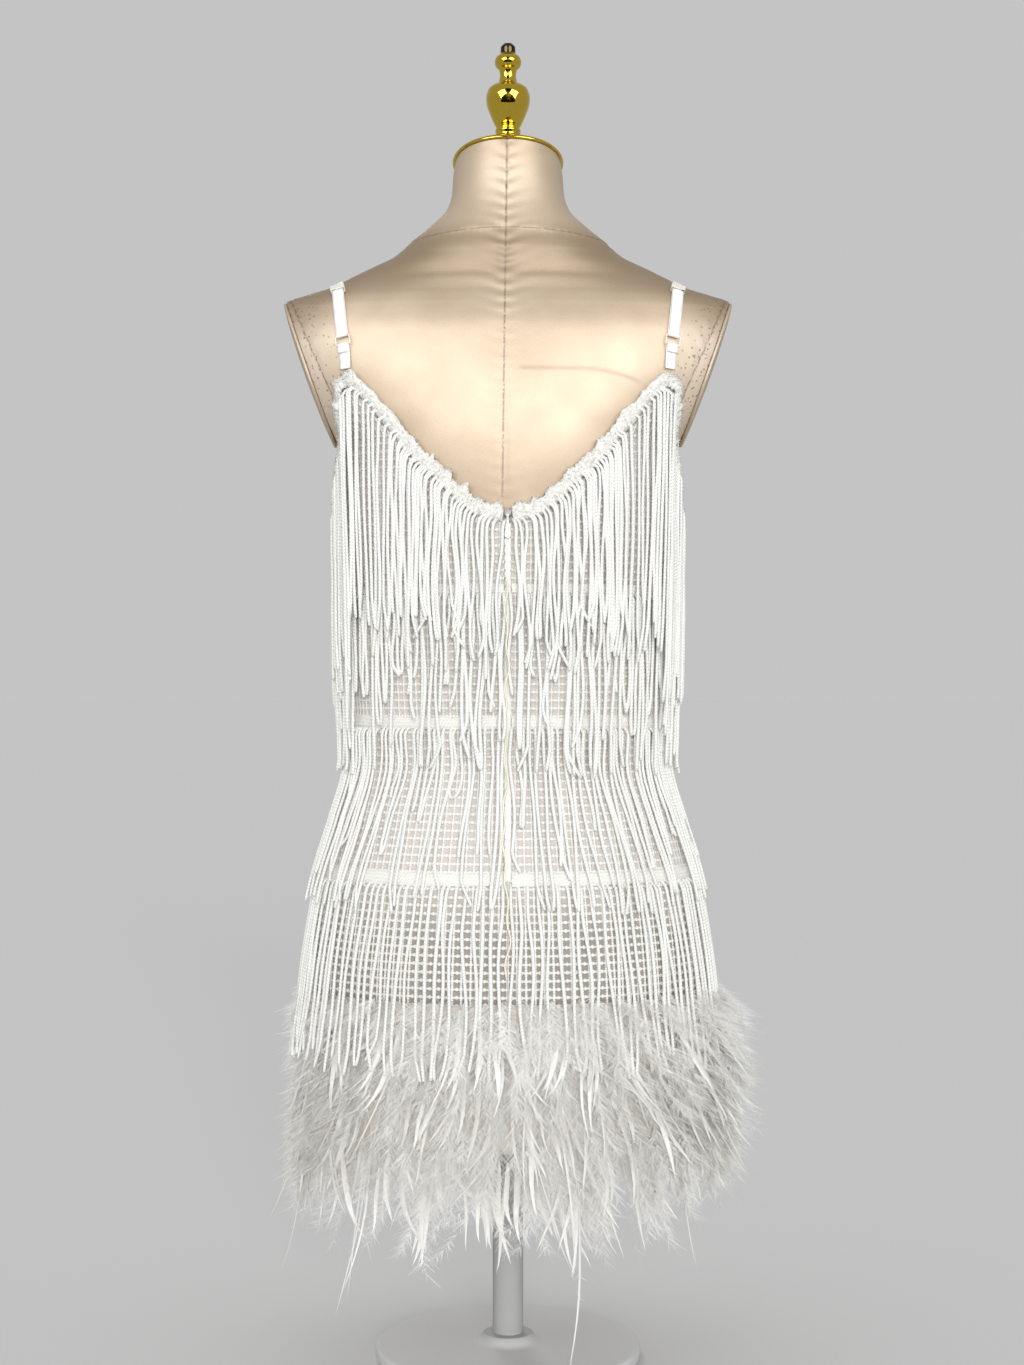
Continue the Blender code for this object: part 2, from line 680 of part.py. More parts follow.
class Seat:
    """The line under one strap, read by the length along it from the dress's back edge."""

    def __init__(self, side):
        back_x = dress_point(BACK_STRAP_TURN, top_edge_z(BACK_STRAP_TURN)).x
        front_x = dress_point(FRONT_STRAP_TURN, top_edge_z(FRONT_STRAP_TURN)).x
        self.side = side
        self.lay = [Lay(0.0, back_x), Lay(90.0, STRAP_TOP_X), Lay(180.0, front_x)]
        first = top_edge_z(BACK_STRAP_TURN) + 0.0022
        last = top_edge_z(FRONT_STRAP_TURN) + 0.0022
        self.rows = []
        for k in range(91):
            place = self.on_form(2.0 * k)
            if place.z > (first if place.y > 0 else last):
                level = self.on_form(2.0 * k, 0.003) - self.on_form(2.0 * k, -0.003)
                self.rows.append((place, level * side))
        self.runs = [0.0]
        for a, b in zip(self.rows, self.rows[1:]):
            self.runs.append(self.runs[-1] + (b[0] - a[0]).length)
        self.length = self.runs[-1]

    def on_form(self, angle, aside=0.0):
        """The form's surface at an angle over the shoulder, 0 at the back, by halving."""
        x = between(self.lay, "x", angle) + aside
        ray = Vector((0.0, math.cos(math.radians(angle)), math.sin(math.radians(angle))))
        near, far = 0.02, 0.16
        for _ in range(40):
            half = (near + far) / 2
            if inside_form(x, ray.y * half, SHOULDER_Z + ray.z * half):
                near = half
            else:
                far = half
        return Vector((self.side * x, ray.y * near, SHOULDER_Z + ray.z * near))

    def at(self, run, column=0):
        """The strap's place at that run, or with column 1 the direction across it."""
        i = max(j for j in range(len(self.runs) - 1) if self.runs[j] <= max(run, 0.0))
        share = (run - self.runs[i]) / (self.runs[i + 1] - self.runs[i])
        return self.rows[i][column].lerp(self.rows[i + 1][column], share)

    def frame(self, run):
        """The place at that run, and the directions along, away from the form, and across."""
        place = self.at(run)
        ahead = (self.at(run + 0.004) - self.at(run - 0.004)).normalized()
        across = self.at(run, 1)
        across = (across - ahead * across.dot(ahead)).normalized()
        away = across.cross(ahead)
        if away.dot(place - Vector((place.x, 0.0, SHOULDER_Z))) < 0:
            away = -away
        return place, ahead, away, across

    def lifted(self, run, height):
        place, _, away, _ = self.frame(run)
        return place + away * height


def ribbon(name, seat, route):
    """A flat strap along a route of (run, height above the form)."""
    points = [seat.lifted(run, height) for run, height in route]
    loops = []
    for k, point in enumerate(points):
        before, after = points[max(k - 1, 0)], points[min(k + 1, len(points) - 1)]
        ahead = (after - before).normalized()
        across = seat.frame(route[k][0])[3]
        across = (across - ahead * across.dot(ahead)).normalized()
        wide, thick = across * (STRAP_WIDTH / 2), across.cross(ahead) * (STRAP_CLOTH / 2)
        loops.append([point - wide - thick, point + wide - thick, point + wide + thick, point - wide + thick])
    bm = bmesh.new()
    loft(bm, loops)
    return make_object(name, bm, WHITE_SATIN)


RING_RUN = 0.0230          # from the dress's edge to the ring's middle
RING_HALF = 0.0040         # ring's middle to the middle of each bar
RING_HALF_WIDTH = 0.0060
BAR_RADIUS = 0.00065
BAR_HEIGHT = 0.0029        # of the ring's wire above the form
FOLD_RADIUS = 0.0014
RING_CORNER = 0.0012
SLIDE_RUN = 0.0720         # from the dress's edge to the slide's middle
SLIDE_HALF_TALL = 0.0035   # along the strap
SLIDE_BAND = 0.0008        # thickness of its sides
SLIDE_FOOT = 0.0005        # thickness of its under side
SLIDE_LOW = 0.0010         # its opening, above the form
SLIDE_HIGH = 0.0046
SLIDE_ROOM = 0.0004        # on each side of the strap
LOW_LAYER = 0.0019         # the two layers of strap inside the slide, above the form
HIGH_LAYER = 0.0036


def fold(bar_run, towards):
    """A half circle that carries a strap round a bar and back over itself."""
    made = []
    for k in range(5):
        a = math.pi * k / 4
        made.append((bar_run + towards * FOLD_RADIUS * math.sin(a), BAR_HEIGHT - FOLD_RADIUS * math.cos(a)))
    return made


def make_ring(name, seat):
    """The wire ring with two straight bars, between the two strap pieces."""
    place, ahead, away, across = seat.frame(RING_RUN)
    curve = bpy.data.curves.new(name, "CURVE")
    curve.dimensions = "3D"
    curve.bevel_depth = BAR_RADIUS
    curve.bevel_resolution = 1
    spline = curve.splines.new("POLY")
    outline = []
    for start, u_sign, v_sign in ((0, 1, 1), (90, -1, 1), (180, -1, -1), (270, 1, -1)):
        for step in range(3):
            a = math.radians(start + 45 * step)
            u = u_sign * (RING_HALF_WIDTH - RING_CORNER) + RING_CORNER * math.cos(a)
            v = v_sign * (RING_HALF - RING_CORNER) + RING_CORNER * math.sin(a)
            outline.append(place + away * BAR_HEIGHT + across * u + ahead * v)
    spline.points.add(len(outline) - 1)
    spline.use_cyclic_u = True
    for point, corner in zip(spline.points, outline):
        point.co = (*corner, 1.0)
    curve.materials.append(material_for(name, CREAM_ENAMEL))
    bpy.context.scene.collection.objects.link(bpy.data.objects.new(name, curve))


def make_slide(name, seat):
    """The adjuster: a flat band round both layers of the strap."""
    place, ahead, away, across = seat.frame(SLIDE_RUN)
    half_wide = STRAP_WIDTH / 2 + SLIDE_ROOM
    bore = half_wide, SLIDE_LOW, SLIDE_HIGH
    outside = half_wide + SLIDE_BAND, SLIDE_LOW - SLIDE_FOOT, SLIDE_HIGH + SLIDE_BAND
    bm = bmesh.new()
    rings = []
    for along in (-SLIDE_HALF_TALL, SLIDE_HALF_TALL):
        for wide, bottom, top in (bore, outside):
            corners = ((-wide, bottom), (wide, bottom), (wide, top), (-wide, top))
            rings.append([bm.verts.new(place + across * u + away * h + ahead * along) for u, h in corners])
    low_in, low_out, high_in, high_out = rings
    for k in range(4):
        n = (k + 1) % 4
        bm.faces.new((low_in[k], low_in[n], low_out[n], low_out[k]))
        bm.faces.new((high_in[k], high_out[k], high_out[n], high_in[n]))
        bm.faces.new((low_in[k], high_in[k], high_in[n], low_in[n]))
        bm.faces.new((low_out[k], low_out[n], high_out[n], high_out[k]))
    make_object(name, bm, CREAM_ENAMEL, smooth=False)


def make_strap(word, side):
    seat = Seat(side)
    lower_bar, upper_bar = RING_RUN - RING_HALF, RING_RUN + RING_HALF
    low, high = BAR_HEIGHT - FOLD_RADIUS, BAR_HEIGHT + FOLD_RADIUS
    short = [(0.0, 0.0026), (0.006, 0.0022), (lower_bar - 0.005, low)]
    short += fold(lower_bar, 1)
    short += [(lower_bar - 0.006, high)]
    ribbon(f"strap_short_{word}", seat, short)
    route = [(seat.length, 0.0026), (seat.length - 0.008, 0.0018)]
    count = 12
    start, stop = seat.length - 0.018, SLIDE_RUN + 0.020
    route += [(start + (stop - start) * k / (count - 1), 0.0014) for k in range(count)]
    route += [(SLIDE_RUN + along, LOW_LAYER) for along in (0.007, 0.003, -0.003, -0.007)]
    route += [(SLIDE_RUN - 0.022, low), (upper_bar + 0.005, low)]
    route += fold(upper_bar, -1)
    route += [(upper_bar + 0.005, high), (SLIDE_RUN - 0.022, high)]
    route += [(SLIDE_RUN + along, HIGH_LAYER) for along in (-0.007, -0.003, 0.0028)]
    ribbon(f"strap_long_{word}", seat, route)
    make_ring(f"strap_ring_{word}", seat)
    make_slide(f"strap_slide_{word}", seat)


# The centre back zip: a chain between the panels, its slider, and the slider's swinging pull.
SLIDER_Z = 0.678
SLIDER_THICK = 0.0018
SLIDER_HALF_WIDTH = 0.0026
SLIDER_HALF_TALL = 0.0045
EAR_NEAR = 0.0015          # the slider's two ears lie between these distances from the middle
EAR_FAR = 0.0023
EAR_HALF_TALL = 0.0012
EAR_REACH = 0.0010         # past the pin
PIN_RADIUS = 0.00045
PIN_HALF_LENGTH = 0.0019
BARREL_RADIUS = 0.0013     # the pull's round head, which turns on the pin
BARREL_HALF_LENGTH = 0.0011
EYE_RADIUS = 0.00078       # the hole through it
PULL_LENGTH = 0.0175
PULL_HALF_WIDTH = 0.0023
PULL_HALF_THICK = 0.0005
PULL_NECK = 0.0010         # half width above the teardrop, down to PULL_NECK_Z
PULL_NECK_TOP = 0.0008
PULL_NECK_Z = -0.0060
PULL_TOP_Z = -0.0004
CHAIN_SINK = 0.0002        # the chain's face below the knit's
CHAIN_FOOT_ROOM = 0.004    # above the foot of the opening
CHAIN_TOP_ROOM = 0.0055    # below the slider's middle


def box(bm, low, high):
    made = bmesh.ops.create_cube(bm, size=1.0)["verts"]
    bmesh.ops.scale(bm, vec=[h - l for l, h in zip(low, high)], verts=made)
    bmesh.ops.translate(bm, vec=[(h + l) / 2 for l, h in zip(low, high)], verts=made)


def x_cylinder(bm, centre, reach, half_length):
    place = Matrix.Translation(centre) @ Matrix.Rotation(math.pi / 2, 4, "Y")
    bmesh.ops.create_cone(
        bm, cap_ends=True, segments=12, radius1=reach, radius2=reach, depth=2 * half_length,
        matrix=place,
    )


def combine(target, other, operation):
    """Joins or cuts a target with a hidden solid."""
    other.hide_render = True
    other.display_type = "WIRE"
    modifier = target.modifiers.new(other.name, "BOOLEAN")
    modifier.operation = operation
    modifier.solver = "EXACT"
    modifier.object = other


def make_zip():
    columns = []
    half = ZIP_OPENING - SEAM_GAP
    foot = ZIP_FOOT + CHAIN_FOOT_ROOM
    rows = [foot] + [z for z in SHELL_ROWS if z > foot + SEAM_GAP] + [SLIDER_Z - CHAIN_TOP_ROOM]
    for x in (half, -half):
        column = []
        for z in rows:
            y = dress_point(0.0, z).y
            column.append((Vector((x, y - CHAIN_SINK, z)), Vector((x, y - CLOTH, z))))
        columns.append(column)
    wall("zip_chain", columns, CREAM_ENAMEL)

    face = dress_point(0.0, SLIDER_Z).y + SEAM_GAP
    pivot = Vector((0.0, face + SLIDER_THICK + SEAM_GAP + BARREL_RADIUS, SLIDER_Z))
    bm = bmesh.new()
    box(bm, (-SLIDER_HALF_WIDTH, face, SLIDER_Z - SLIDER_HALF_TALL),
        (SLIDER_HALF_WIDTH, face + SLIDER_THICK, SLIDER_Z + SLIDER_HALF_TALL))
    slider = make_object("zip_slider", bm, GREY_METAL, smooth=False)
    for word, side in (("ear_left", 1), ("ear_right", -1)):
        low_x, high_x = sorted((EAR_NEAR * side, EAR_FAR * side))
        bm = bmesh.new()
        box(bm, (low_x, face + SLIDER_THICK / 2, pivot.z - EAR_HALF_TALL),
            (high_x, pivot.y + EAR_REACH, pivot.z + EAR_HALF_TALL))
        combine(slider, make_object(word, bm, GREY_METAL, smooth=False), "UNION")
    bm = bmesh.new()
    x_cylinder(bm, pivot, PIN_RADIUS, PIN_HALF_LENGTH)
    combine(slider, make_object("slider_pin", bm, GREY_METAL, smooth=False), "UNION")

    bm = bmesh.new()
    x_cylinder(bm, Vector(), BARREL_RADIUS, BARREL_HALF_LENGTH)
    pull = make_object("zip_pull", bm, CREAM_ENAMEL, smooth=False)
    outline = [(PULL_NECK_TOP, PULL_TOP_Z), (PULL_NECK, PULL_NECK_Z)]
    for k in range(9):
        a = math.pi * k / 8
        outline.append((PULL_HALF_WIDTH * math.cos(a), PULL_HALF_WIDTH * (1 - math.sin(a)) - PULL_LENGTH))
    outline += [(-PULL_NECK, PULL_NECK_Z), (-PULL_NECK_TOP, PULL_TOP_Z)]
    bm = bmesh.new()
    faces = (-PULL_HALF_THICK, PULL_HALF_THICK)
    loft(bm, [[Vector((u, y, v)) for u, v in outline] for y in faces])
    blade = make_object("pull_blade", bm, CREAM_ENAMEL, smooth=False)
    bm = bmesh.new()
    x_cylinder(bm, Vector(), EYE_RADIUS, PIN_HALF_LENGTH)
    eye = make_object("pull_eye", bm, CREAM_ENAMEL, smooth=False)
    combine(pull, blade, "UNION")
    combine(pull, eye, "DIFFERENCE")
    for piece in (pull, blade, eye):
        piece.location = pivot


make_torso()
make_neck_cap()
make_stand()
make_shell()
make_underskirt()
make_edge_fringes()
make_tiers()
make_feathers()
make_strap("left", 1)
make_strap("right", -1)
make_zip()
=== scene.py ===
"""Looks of the fringed mini dress with a feather hem, on its limbless satin dress form.

Metres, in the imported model's frame: the floor is Z = 0, the pole is the Z axis, the front faces
-Y. A turn is an angle round the body in degrees: 0 centre back, 90 the wearer's left side (+X),
180 centre front, 270 the right side.
"""

import random
from collections import namedtuple
from functools import lru_cache
from math import atan2, copysign, cos, degrees, exp, hypot, pi, radians, sin

import bmesh
import bpy
from mathutils import Matrix, Vector, noise


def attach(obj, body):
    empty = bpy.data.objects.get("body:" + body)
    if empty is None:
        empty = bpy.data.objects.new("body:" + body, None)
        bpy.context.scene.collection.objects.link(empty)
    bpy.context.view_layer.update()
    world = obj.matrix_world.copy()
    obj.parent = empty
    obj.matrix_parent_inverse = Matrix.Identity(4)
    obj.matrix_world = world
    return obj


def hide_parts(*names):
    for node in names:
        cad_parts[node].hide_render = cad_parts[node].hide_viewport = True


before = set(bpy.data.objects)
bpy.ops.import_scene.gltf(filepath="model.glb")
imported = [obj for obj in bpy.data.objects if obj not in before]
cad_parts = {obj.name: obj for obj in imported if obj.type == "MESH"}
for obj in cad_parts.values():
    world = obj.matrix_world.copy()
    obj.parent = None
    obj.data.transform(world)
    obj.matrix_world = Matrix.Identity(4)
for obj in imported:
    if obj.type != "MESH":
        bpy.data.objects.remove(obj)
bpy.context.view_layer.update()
scene = bpy.context.scene

# Studio: a plain pale floor that meets a plain grey backdrop of the same tone, broad light from
# the camera's side and from behind, and two soft boxes before a black card that only glossy
# surfaces pick up.
VIEW_DISTANCE = 1.8
VIEW_HEIGHT = 0.549
VIEW_X = -0.0033
VIEW_SPAN = 1.119          # height of the picture at the pole
GREY = 0.552


def table(kind, cells):
    """A table with named columns, from its plain rows."""
    return tuple(kind(*cell) for cell in cells)


Lamp = namedtuple("Lamp", "name strength tilt aside shines")
LAMPS = table(Lamp, [      # tilt is in degrees from straight down, aside from the line of sight
    ("key", 2.15, 80.0, 4.0, True), ("back_fill", 1.4, 64.0, 190.0, False),
])
LAMP_SPREAD = 24.0         # degrees

camera_data = bpy.data.cameras.new("photo_camera")
camera_data.sensor_fit = "VERTICAL"
camera_data.sensor_height = 36.0
camera_data.lens = camera_data.sensor_height * VIEW_DISTANCE / VIEW_SPAN
camera = bpy.data.objects.new("photo_camera", camera_data)
camera.location = (VIEW_X, VIEW_DISTANCE, VIEW_HEIGHT)
camera.rotation_euler = (radians(90), 0.0, radians(180))
scene.collection.objects.link(camera)
scene.camera = camera
scene.view_settings.view_transform = "Standard"

world = bpy.data.worlds.new("studio")
scene.world = world
world.use_nodes = True
world.node_tree.nodes["Background"].inputs["Color"].default_value = (GREY, GREY, GREY, 1.0)


def add_lamp(name, kind, energy):
    lamp = bpy.data.objects.new(name, bpy.data.lights.new(name, kind))
    lamp.data.energy = energy
    scene.collection.objects.link(lamp)
    return lamp


for lamp in LAMPS:
    sun = add_lamp(lamp.name, "SUN", lamp.strength)
    sun.data.angle = radians(LAMP_SPREAD)
    sun.rotation_euler = (radians(-lamp.tilt), 0.0, radians(lamp.aside))
    sun.visible_glossy = lamp.shines

SOFT_BOX_POWER, SOFT_BOX_SIZE, SOFT_BOX_AIM = 58.0, (1.5, 1.4), Vector((0.0, 0.0, 0.9))
for word, spot in (("left", (1.15, 1.9, 1.85)), ("right", (-1.2, 1.9, 1.85))):
    soft_box = add_lamp(f"soft_box_{word}", "AREA", SOFT_BOX_POWER)
    soft_box.data.shape = "RECTANGLE"
    soft_box.data.size, soft_box.data.size_y = SOFT_BOX_SIZE
    soft_box.location = spot
    soft_box.rotation_euler = (SOFT_BOX_AIM - soft_box.location).to_track_quat("-Z", "Z").to_euler()
    soft_box.visible_diffuse = False


class Shade:
    """A socket of one material. Arithmetic on it adds Math nodes; node() adds any other."""

    def __init__(self, tree, socket=None):
        self.tree, self.socket = tree, socket

    def node(self, kind, settings=None, sockets=None, output=0):
        made = self.tree.nodes.new(f"ShaderNode{kind}")
        for name, value in (settings or {}).items():
            setattr(made, name, value)
        for key, value in (sockets or {}).items():
            if isinstance(value, Shade):
                self.tree.links.new(value.socket, made.inputs[key])
            else:
                made.inputs[key].default_value = value
        return Shade(self.tree, made.outputs[output])

    def maths(self, operation, *others):
        return self.node("Math", {"operation": operation}, dict(enumerate((self, *others))))

    def __add__(self, other):
        return self.maths("ADD", other)

    __radd__ = __add__

    def __sub__(self, other):
        return self.maths("SUBTRACT", other)

    def __rsub__(self, other):
        return self.maths("MULTIPLY_ADD", -1.0, other)

    def __mul__(self, other):
        return self.maths("MULTIPLY", other)

    __rmul__ = __mul__

    def __truediv__(self, other):
        return self.maths("DIVIDE", other)

    def __abs__(self):
        return self.maths("ABSOLUTE")

    def ramp(self, low, high):
        """0 below low, 1 above high, and smooth between."""
        return self.node("MapRange", {"interpolation_type": "SMOOTHSTEP"}, {0: self, 1: low, 2: high})

    def mix(self, dark, light):
        """A colour between two, by this value."""
        low, high = (end if isinstance(end, Shade) else (*end, 1.0) for end in (dark, light))
        return self.node("Mix", {"data_type": "RGBA"}, {0: self, 6: low, 7: high}, output=2)

    def wave(self, pitch):
        """A smooth ripple from 0 to 1 with that spacing."""
        return 0.5 + 0.5 * (self * (2 * pi / pitch)).maths("COSINE")

    def uv(self):
        """The piece's own cut: across and along it, in metres."""
        flat = self.node("UVMap", {"uv_map": "cut"})
        return tuple(self.node("SeparateXYZ", None, {0: flat}, output=axis) for axis in (0, 1))

    def spot(self, stretch=(1.0, 1.0, 1.0)):
        """The object's own coordinates, in metres."""
        return self.node("Mapping", None, {0: self.node("TexCoord", output=3), "Scale": stretch})

    def where(self, axis):
        """The object's own X, Y or Z."""
        return self.node("SeparateXYZ", None, {0: self.spot()}, output=axis)

    def noise(self, scale, detail=2.0, roughness=0.5, stretch=(1.0, 1.0, 1.0)):
        return self.node("TexNoise", None, {
            "Vector": self.spot(stretch), "Scale": scale, "Detail": detail, "Roughness": roughness,
        })


def grey(value):
    return value, value, value


def new_finish(name, **constants):
    """A material, and a Shade to start expressions from."""
    material = bpy.data.materials.new(name)
    material.use_nodes = True
    shader = material.node_tree.nodes["Principled BSDF"]
    for socket, value in constants.items():
        shader.inputs[socket.replace("_", " ")].default_value = value
    return material, Shade(material.node_tree)


def feed(socket, value):
    """Feeds a socket of the Principled shader in the value's own material."""
    value.tree.links.new(value.socket, value.tree.nodes["Principled BSDF"].inputs[socket])


def paint(share, dark, light):
    """The surface's colour runs between two, by a share from 0 to 1."""
    feed("Base Color", share.mix(dark, light))


def mottled(name, scale, dark, light, **constants):
    """A material whose colour drifts between two in soft spots."""
    material, start = new_finish(name, **constants)
    paint(start.noise(scale), dark, light)
    return material


def relief(height, depth):
    """A height in 0 to 1, times depth in metres, felt as bump."""
    bump = height.node("Bump", None, {"Height": height * depth, "Distance": 1.0, "Strength": 1.0})
    feed("Normal", bump)


def as_object(name, bm, finish):
    """Turns a bmesh into a linked object of one material."""
    mesh = bpy.data.meshes.new(name)
    bm.to_mesh(mesh)
    bm.free()
    mesh.materials.append(finish)
    made = bpy.data.objects.new(name, mesh)
    scene.collection.objects.link(made)
    return made


def stage_plane(name, size, finish, place=Matrix.Identity(4)):
    bm = bmesh.new()
    bmesh.ops.create_grid(bm, x_segments=1, y_segments=1, size=size, matrix=place)
    plane = as_object(name, bm, finish)
    return plane


lit = GREY + sum(lamp.strength * cos(radians(lamp.tilt)) for lamp in LAMPS) / pi
tone = GREY / lit
floor_finish, start = new_finish("studio_floor", Roughness=0.9, Specular_IOR_Level=0.0)
paint(start.noise(0.6, 1.0), grey(tone * 0.99), grey(tone))
stage_plane("studio_floor", 60.0, floor_finish)
card_finish = mottled("black_card", 3.0, grey(0.004), grey(0.012), Roughness=1.0, Specular_IOR_Level=0.0)
card_place = Matrix.Translation((0.0, 3.0, 1.9)) @ Matrix.Rotation(radians(90), 4, "X")
card = stage_plane("black_card", 2.4, card_finish, card_place)
card.visible_camera = card.visible_diffuse = card.visible_shadow = card.visible_transmission = False

# Torso: a foam form under champagne satin, seamed down the centre back and round the neck's
# base, with stitched covers eased into flat armholes. The satin puckers along every seam. Its
# colour carries painted shade on the upper slopes, at the V's bottom and in a crease, and painted
# light beside the armholes.
BODY = "dress_on_form"
WELD = 1e-6
SQUARENESS = 2.12          # of the body's sections: 2 is an ellipse
Ring = namedtuple("Ring", "z half_width front back centre lean", defaults=(0.0, 0.0))
FORM_RINGS = table(Ring, [
    (0.248, 0.15, 0.1, 0.108), (0.32, 0.158, 0.105, 0.122), (0.39, 0.148, 0.1, 0.112),
    (0.44, 0.1345, 0.094, 0.096), (0.49, 0.122, 0.088, 0.082), (0.54, 0.126, 0.095, 0.088),
    (0.6, 0.13, 0.11, 0.095), (0.665, 0.135, 0.119, 0.1), (0.74, 0.1385, 0.109, 0.098),
    (0.77, 0.16, 0.098, 0.094), (0.8, 0.182, 0.082, 0.088), (0.83, 0.19, 0.066, 0.08),
    (0.85, 0.1905, 0.053, 0.069), (0.858, 0.184, 0.049, 0.0645), (0.8635, 0.168, 0.046, 0.062),
    (0.871, 0.144, 0.045, 0.06), (0.877, 0.1325, 0.045, 0.058), (0.886, 0.114, 0.046, 0.057),
    (0.895, 0.095, 0.047, 0.056), (0.908, 0.08, 0.048, 0.054, -0.002),
    (0.92, 0.066, 0.049, 0.052, -0.004), (0.935, 0.051, 0.047, 0.048, -0.007, 0.07),
    (0.948, 0.0465, 0.046, 0.046, -0.009, 0.15), (0.967, 0.045, 0.0455, 0.0455, -0.012, 0.22),
    (0.976, 0.0435, 0.045, 0.045, -0.013, 0.24),
])
FORM_FOOT, FORM_TOP = FORM_RINGS[0].z, FORM_RINGS[-1].z
BUST_Z, BUST_TURN, BUST_RISE, BUST_HALF_TURN, BUST_HALF_HEIGHT = 0.662, 33.0, 0.014, 22.0, 0.05


@lru_cache(maxsize=None)
def between(rows, column, x):
    """A smooth curve through a table's rows that never overshoots them, read at x."""
    xs = [row[0] for row in rows]
    ys = [getattr(row, column) for row in rows]
    if x <= xs[0]:
        return ys[0]
    if x >= xs[-1]:
        return ys[-1]
    i = max(k for k in range(len(xs) - 1) if xs[k] <= x)

    def slope(k):
        if k == 0 or k == len(xs) - 1:
            return 0.0
        before = (ys[k] - ys[k - 1]) / (xs[k] - xs[k - 1])
        after = (ys[k + 1] - ys[k]) / (xs[k + 1] - xs[k])
        return 0.0 if before * after <= 0 else 2 * before * after / (before + after)

    step = xs[i + 1] - xs[i]
    t = (x - xs[i]) / step
    return (
        (2 * t**3 - 3 * t**2 + 1) * ys[i] + (t**3 - 2 * t**2 + t) * step * slope(i)
        + (3 * t**2 - 2 * t**3) * ys[i + 1] + (t**3 - t**2) * step * slope(i + 1)
    )


@lru_cache(maxsize=None)
def level(rings, z):
    return Ring(z, *(between(rings, column, z) for column in Ring._fields[1:]))


def radius(rings, heading, z):
    """How far the section at z reaches, in the direction heading (radians from +Y to +X)."""
    ring = level(rings, round(z, 4))
    depth = ring.back if cos(heading) >= 0 else ring.front
    n = SQUARENESS
    shape = (abs(sin(heading)) / ring.half_width) ** n + (abs(cos(heading)) / depth) ** n
    from_front = 180.0 - abs(degrees(heading))
    across = exp(-(((from_front - BUST_TURN) / BUST_HALF_TURN) ** 2))
    return shape ** (-1 / n) + BUST_RISE * across * exp(-(((z - BUST_Z) / BUST_HALF_HEIGHT) ** 2))


def body_point(rings, turn, z, out=0.0):
    a = radians(turn)
    ring = level(rings, round(z, 4))
    depth = ring.back if cos(a) >= 0 else ring.front
    heading = atan2(sin(a) * ring.half_width, cos(a) * depth)
    reach = radius(rings, heading, z) + out
    y = reach * cos(heading)
    return Vector((reach * sin(heading), y + ring.centre, z + ring.lean * y))


def steps_of(low, high, count):
    return [low + (high - low) * k / count for k in range(count + 1)]


def grid_mesh(items, across, steps, place, flip=False):
    """One mesh of many like patches of across by steps faces, welded where they meet.

    place(item, column, row) gives a point, and the same point on the flat cut.
    """
    bm = bmesh.new()
    cut = bm.loops.layers.uv.new("cut")
    columns = (across + 1) * len(items)
    bmesh.ops.create_grid(bm, x_segments=columns - 1, y_segments=steps, size=0.5)
    bm.verts.index_update()
    flats = []
    for vert in bm.verts:
        row, column = divmod(vert.index, columns)
        item, column = divmod(column, across + 1)
        vert.co, flat = place(items[item], column, row)
        flats.append(flat)
    apart = []
    for face in bm.faces:
        if min(vert.index % columns for vert in face.verts) % (across + 1) == across:
            apart.append(face)
        for loop in face.loops:
            loop[cut].uv = flats[loop.vert.index]
    bmesh.ops.delete(bm, geom=apart, context="FACES")
    bmesh.ops.remove_doubles(bm, verts=bm.verts, dist=WELD)
    if flip:
        bmesh.ops.reverse_faces(bm, faces=bm.faces)
    return bm


def face_out(bm, way=None):
    """Faces a closed mesh outward, or an open one the given way."""
    bmesh.ops.recalc_face_normals(bm, faces=bm.faces)
    if way is not None and sum(face.normal.dot(way) for face in bm.faces) < 0:
        bmesh.ops.reverse_faces(bm, faces=bm.faces)
    return bm


def piece(name, bm, finish, slot, *replaces, body=BODY, edge_angle=None):
    """Turns a bmesh into a named piece that rides on its body, in the place of some solids."""
    made = as_object(name, bm, finish)
    made.data.shade_smooth()
    if edge_angle:
        made.data.set_sharp_from_angle(angle=radians(edge_angle))
    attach(made, body)
    if replaces:
        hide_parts(*replaces)
    return made


ARM_FACE_FOOT, ARM_FACE_X, ARM_FACE_SLOPE = 0.74, 0.1385, 0.349
NECK_SEAM_Z, CREASE_SHADOW_Z = 0.912, 0.7945
PUCKER_PITCH, NECK_PUCKER_PITCH, ARM_PUCKER_PITCH = 0.0105, 0.0062, 0.0056
TORSO_LEVELS = (
    steps_of(FORM_FOOT, 0.6, 26) + steps_of(0.6, 0.84, 60)[1:] + steps_of(0.84, 0.905, 44)[1:]
    + steps_of(0.905, FORM_TOP, 36)[1:]
)
TORSO_COLUMNS = 264


def back_seam_x(z):
    """The centre back seam strays a few millimetres to the wearer's left on its way down."""
    return 0.0008 + 0.012 * (FORM_TOP - z)


def neck_seam_z(x):
    return NECK_SEAM_Z - 0.9 * x * x


def arm_room(x, z):
    """The distance in from the flat armhole face."""
    return ARM_FACE_X + ARM_FACE_SLOPE * (z - ARM_FACE_FOOT) - abs(x)


def arm_seam_off(x, z):
    """The distance in from the armhole's stitched line."""
    return arm_room(x, z) - 0.004 - 0.1 * (0.85 - z)


def drift(x, y, z):
    """Smooth noise, from -1 to 1."""
    return noise.noise(Vector((x, y, z)))


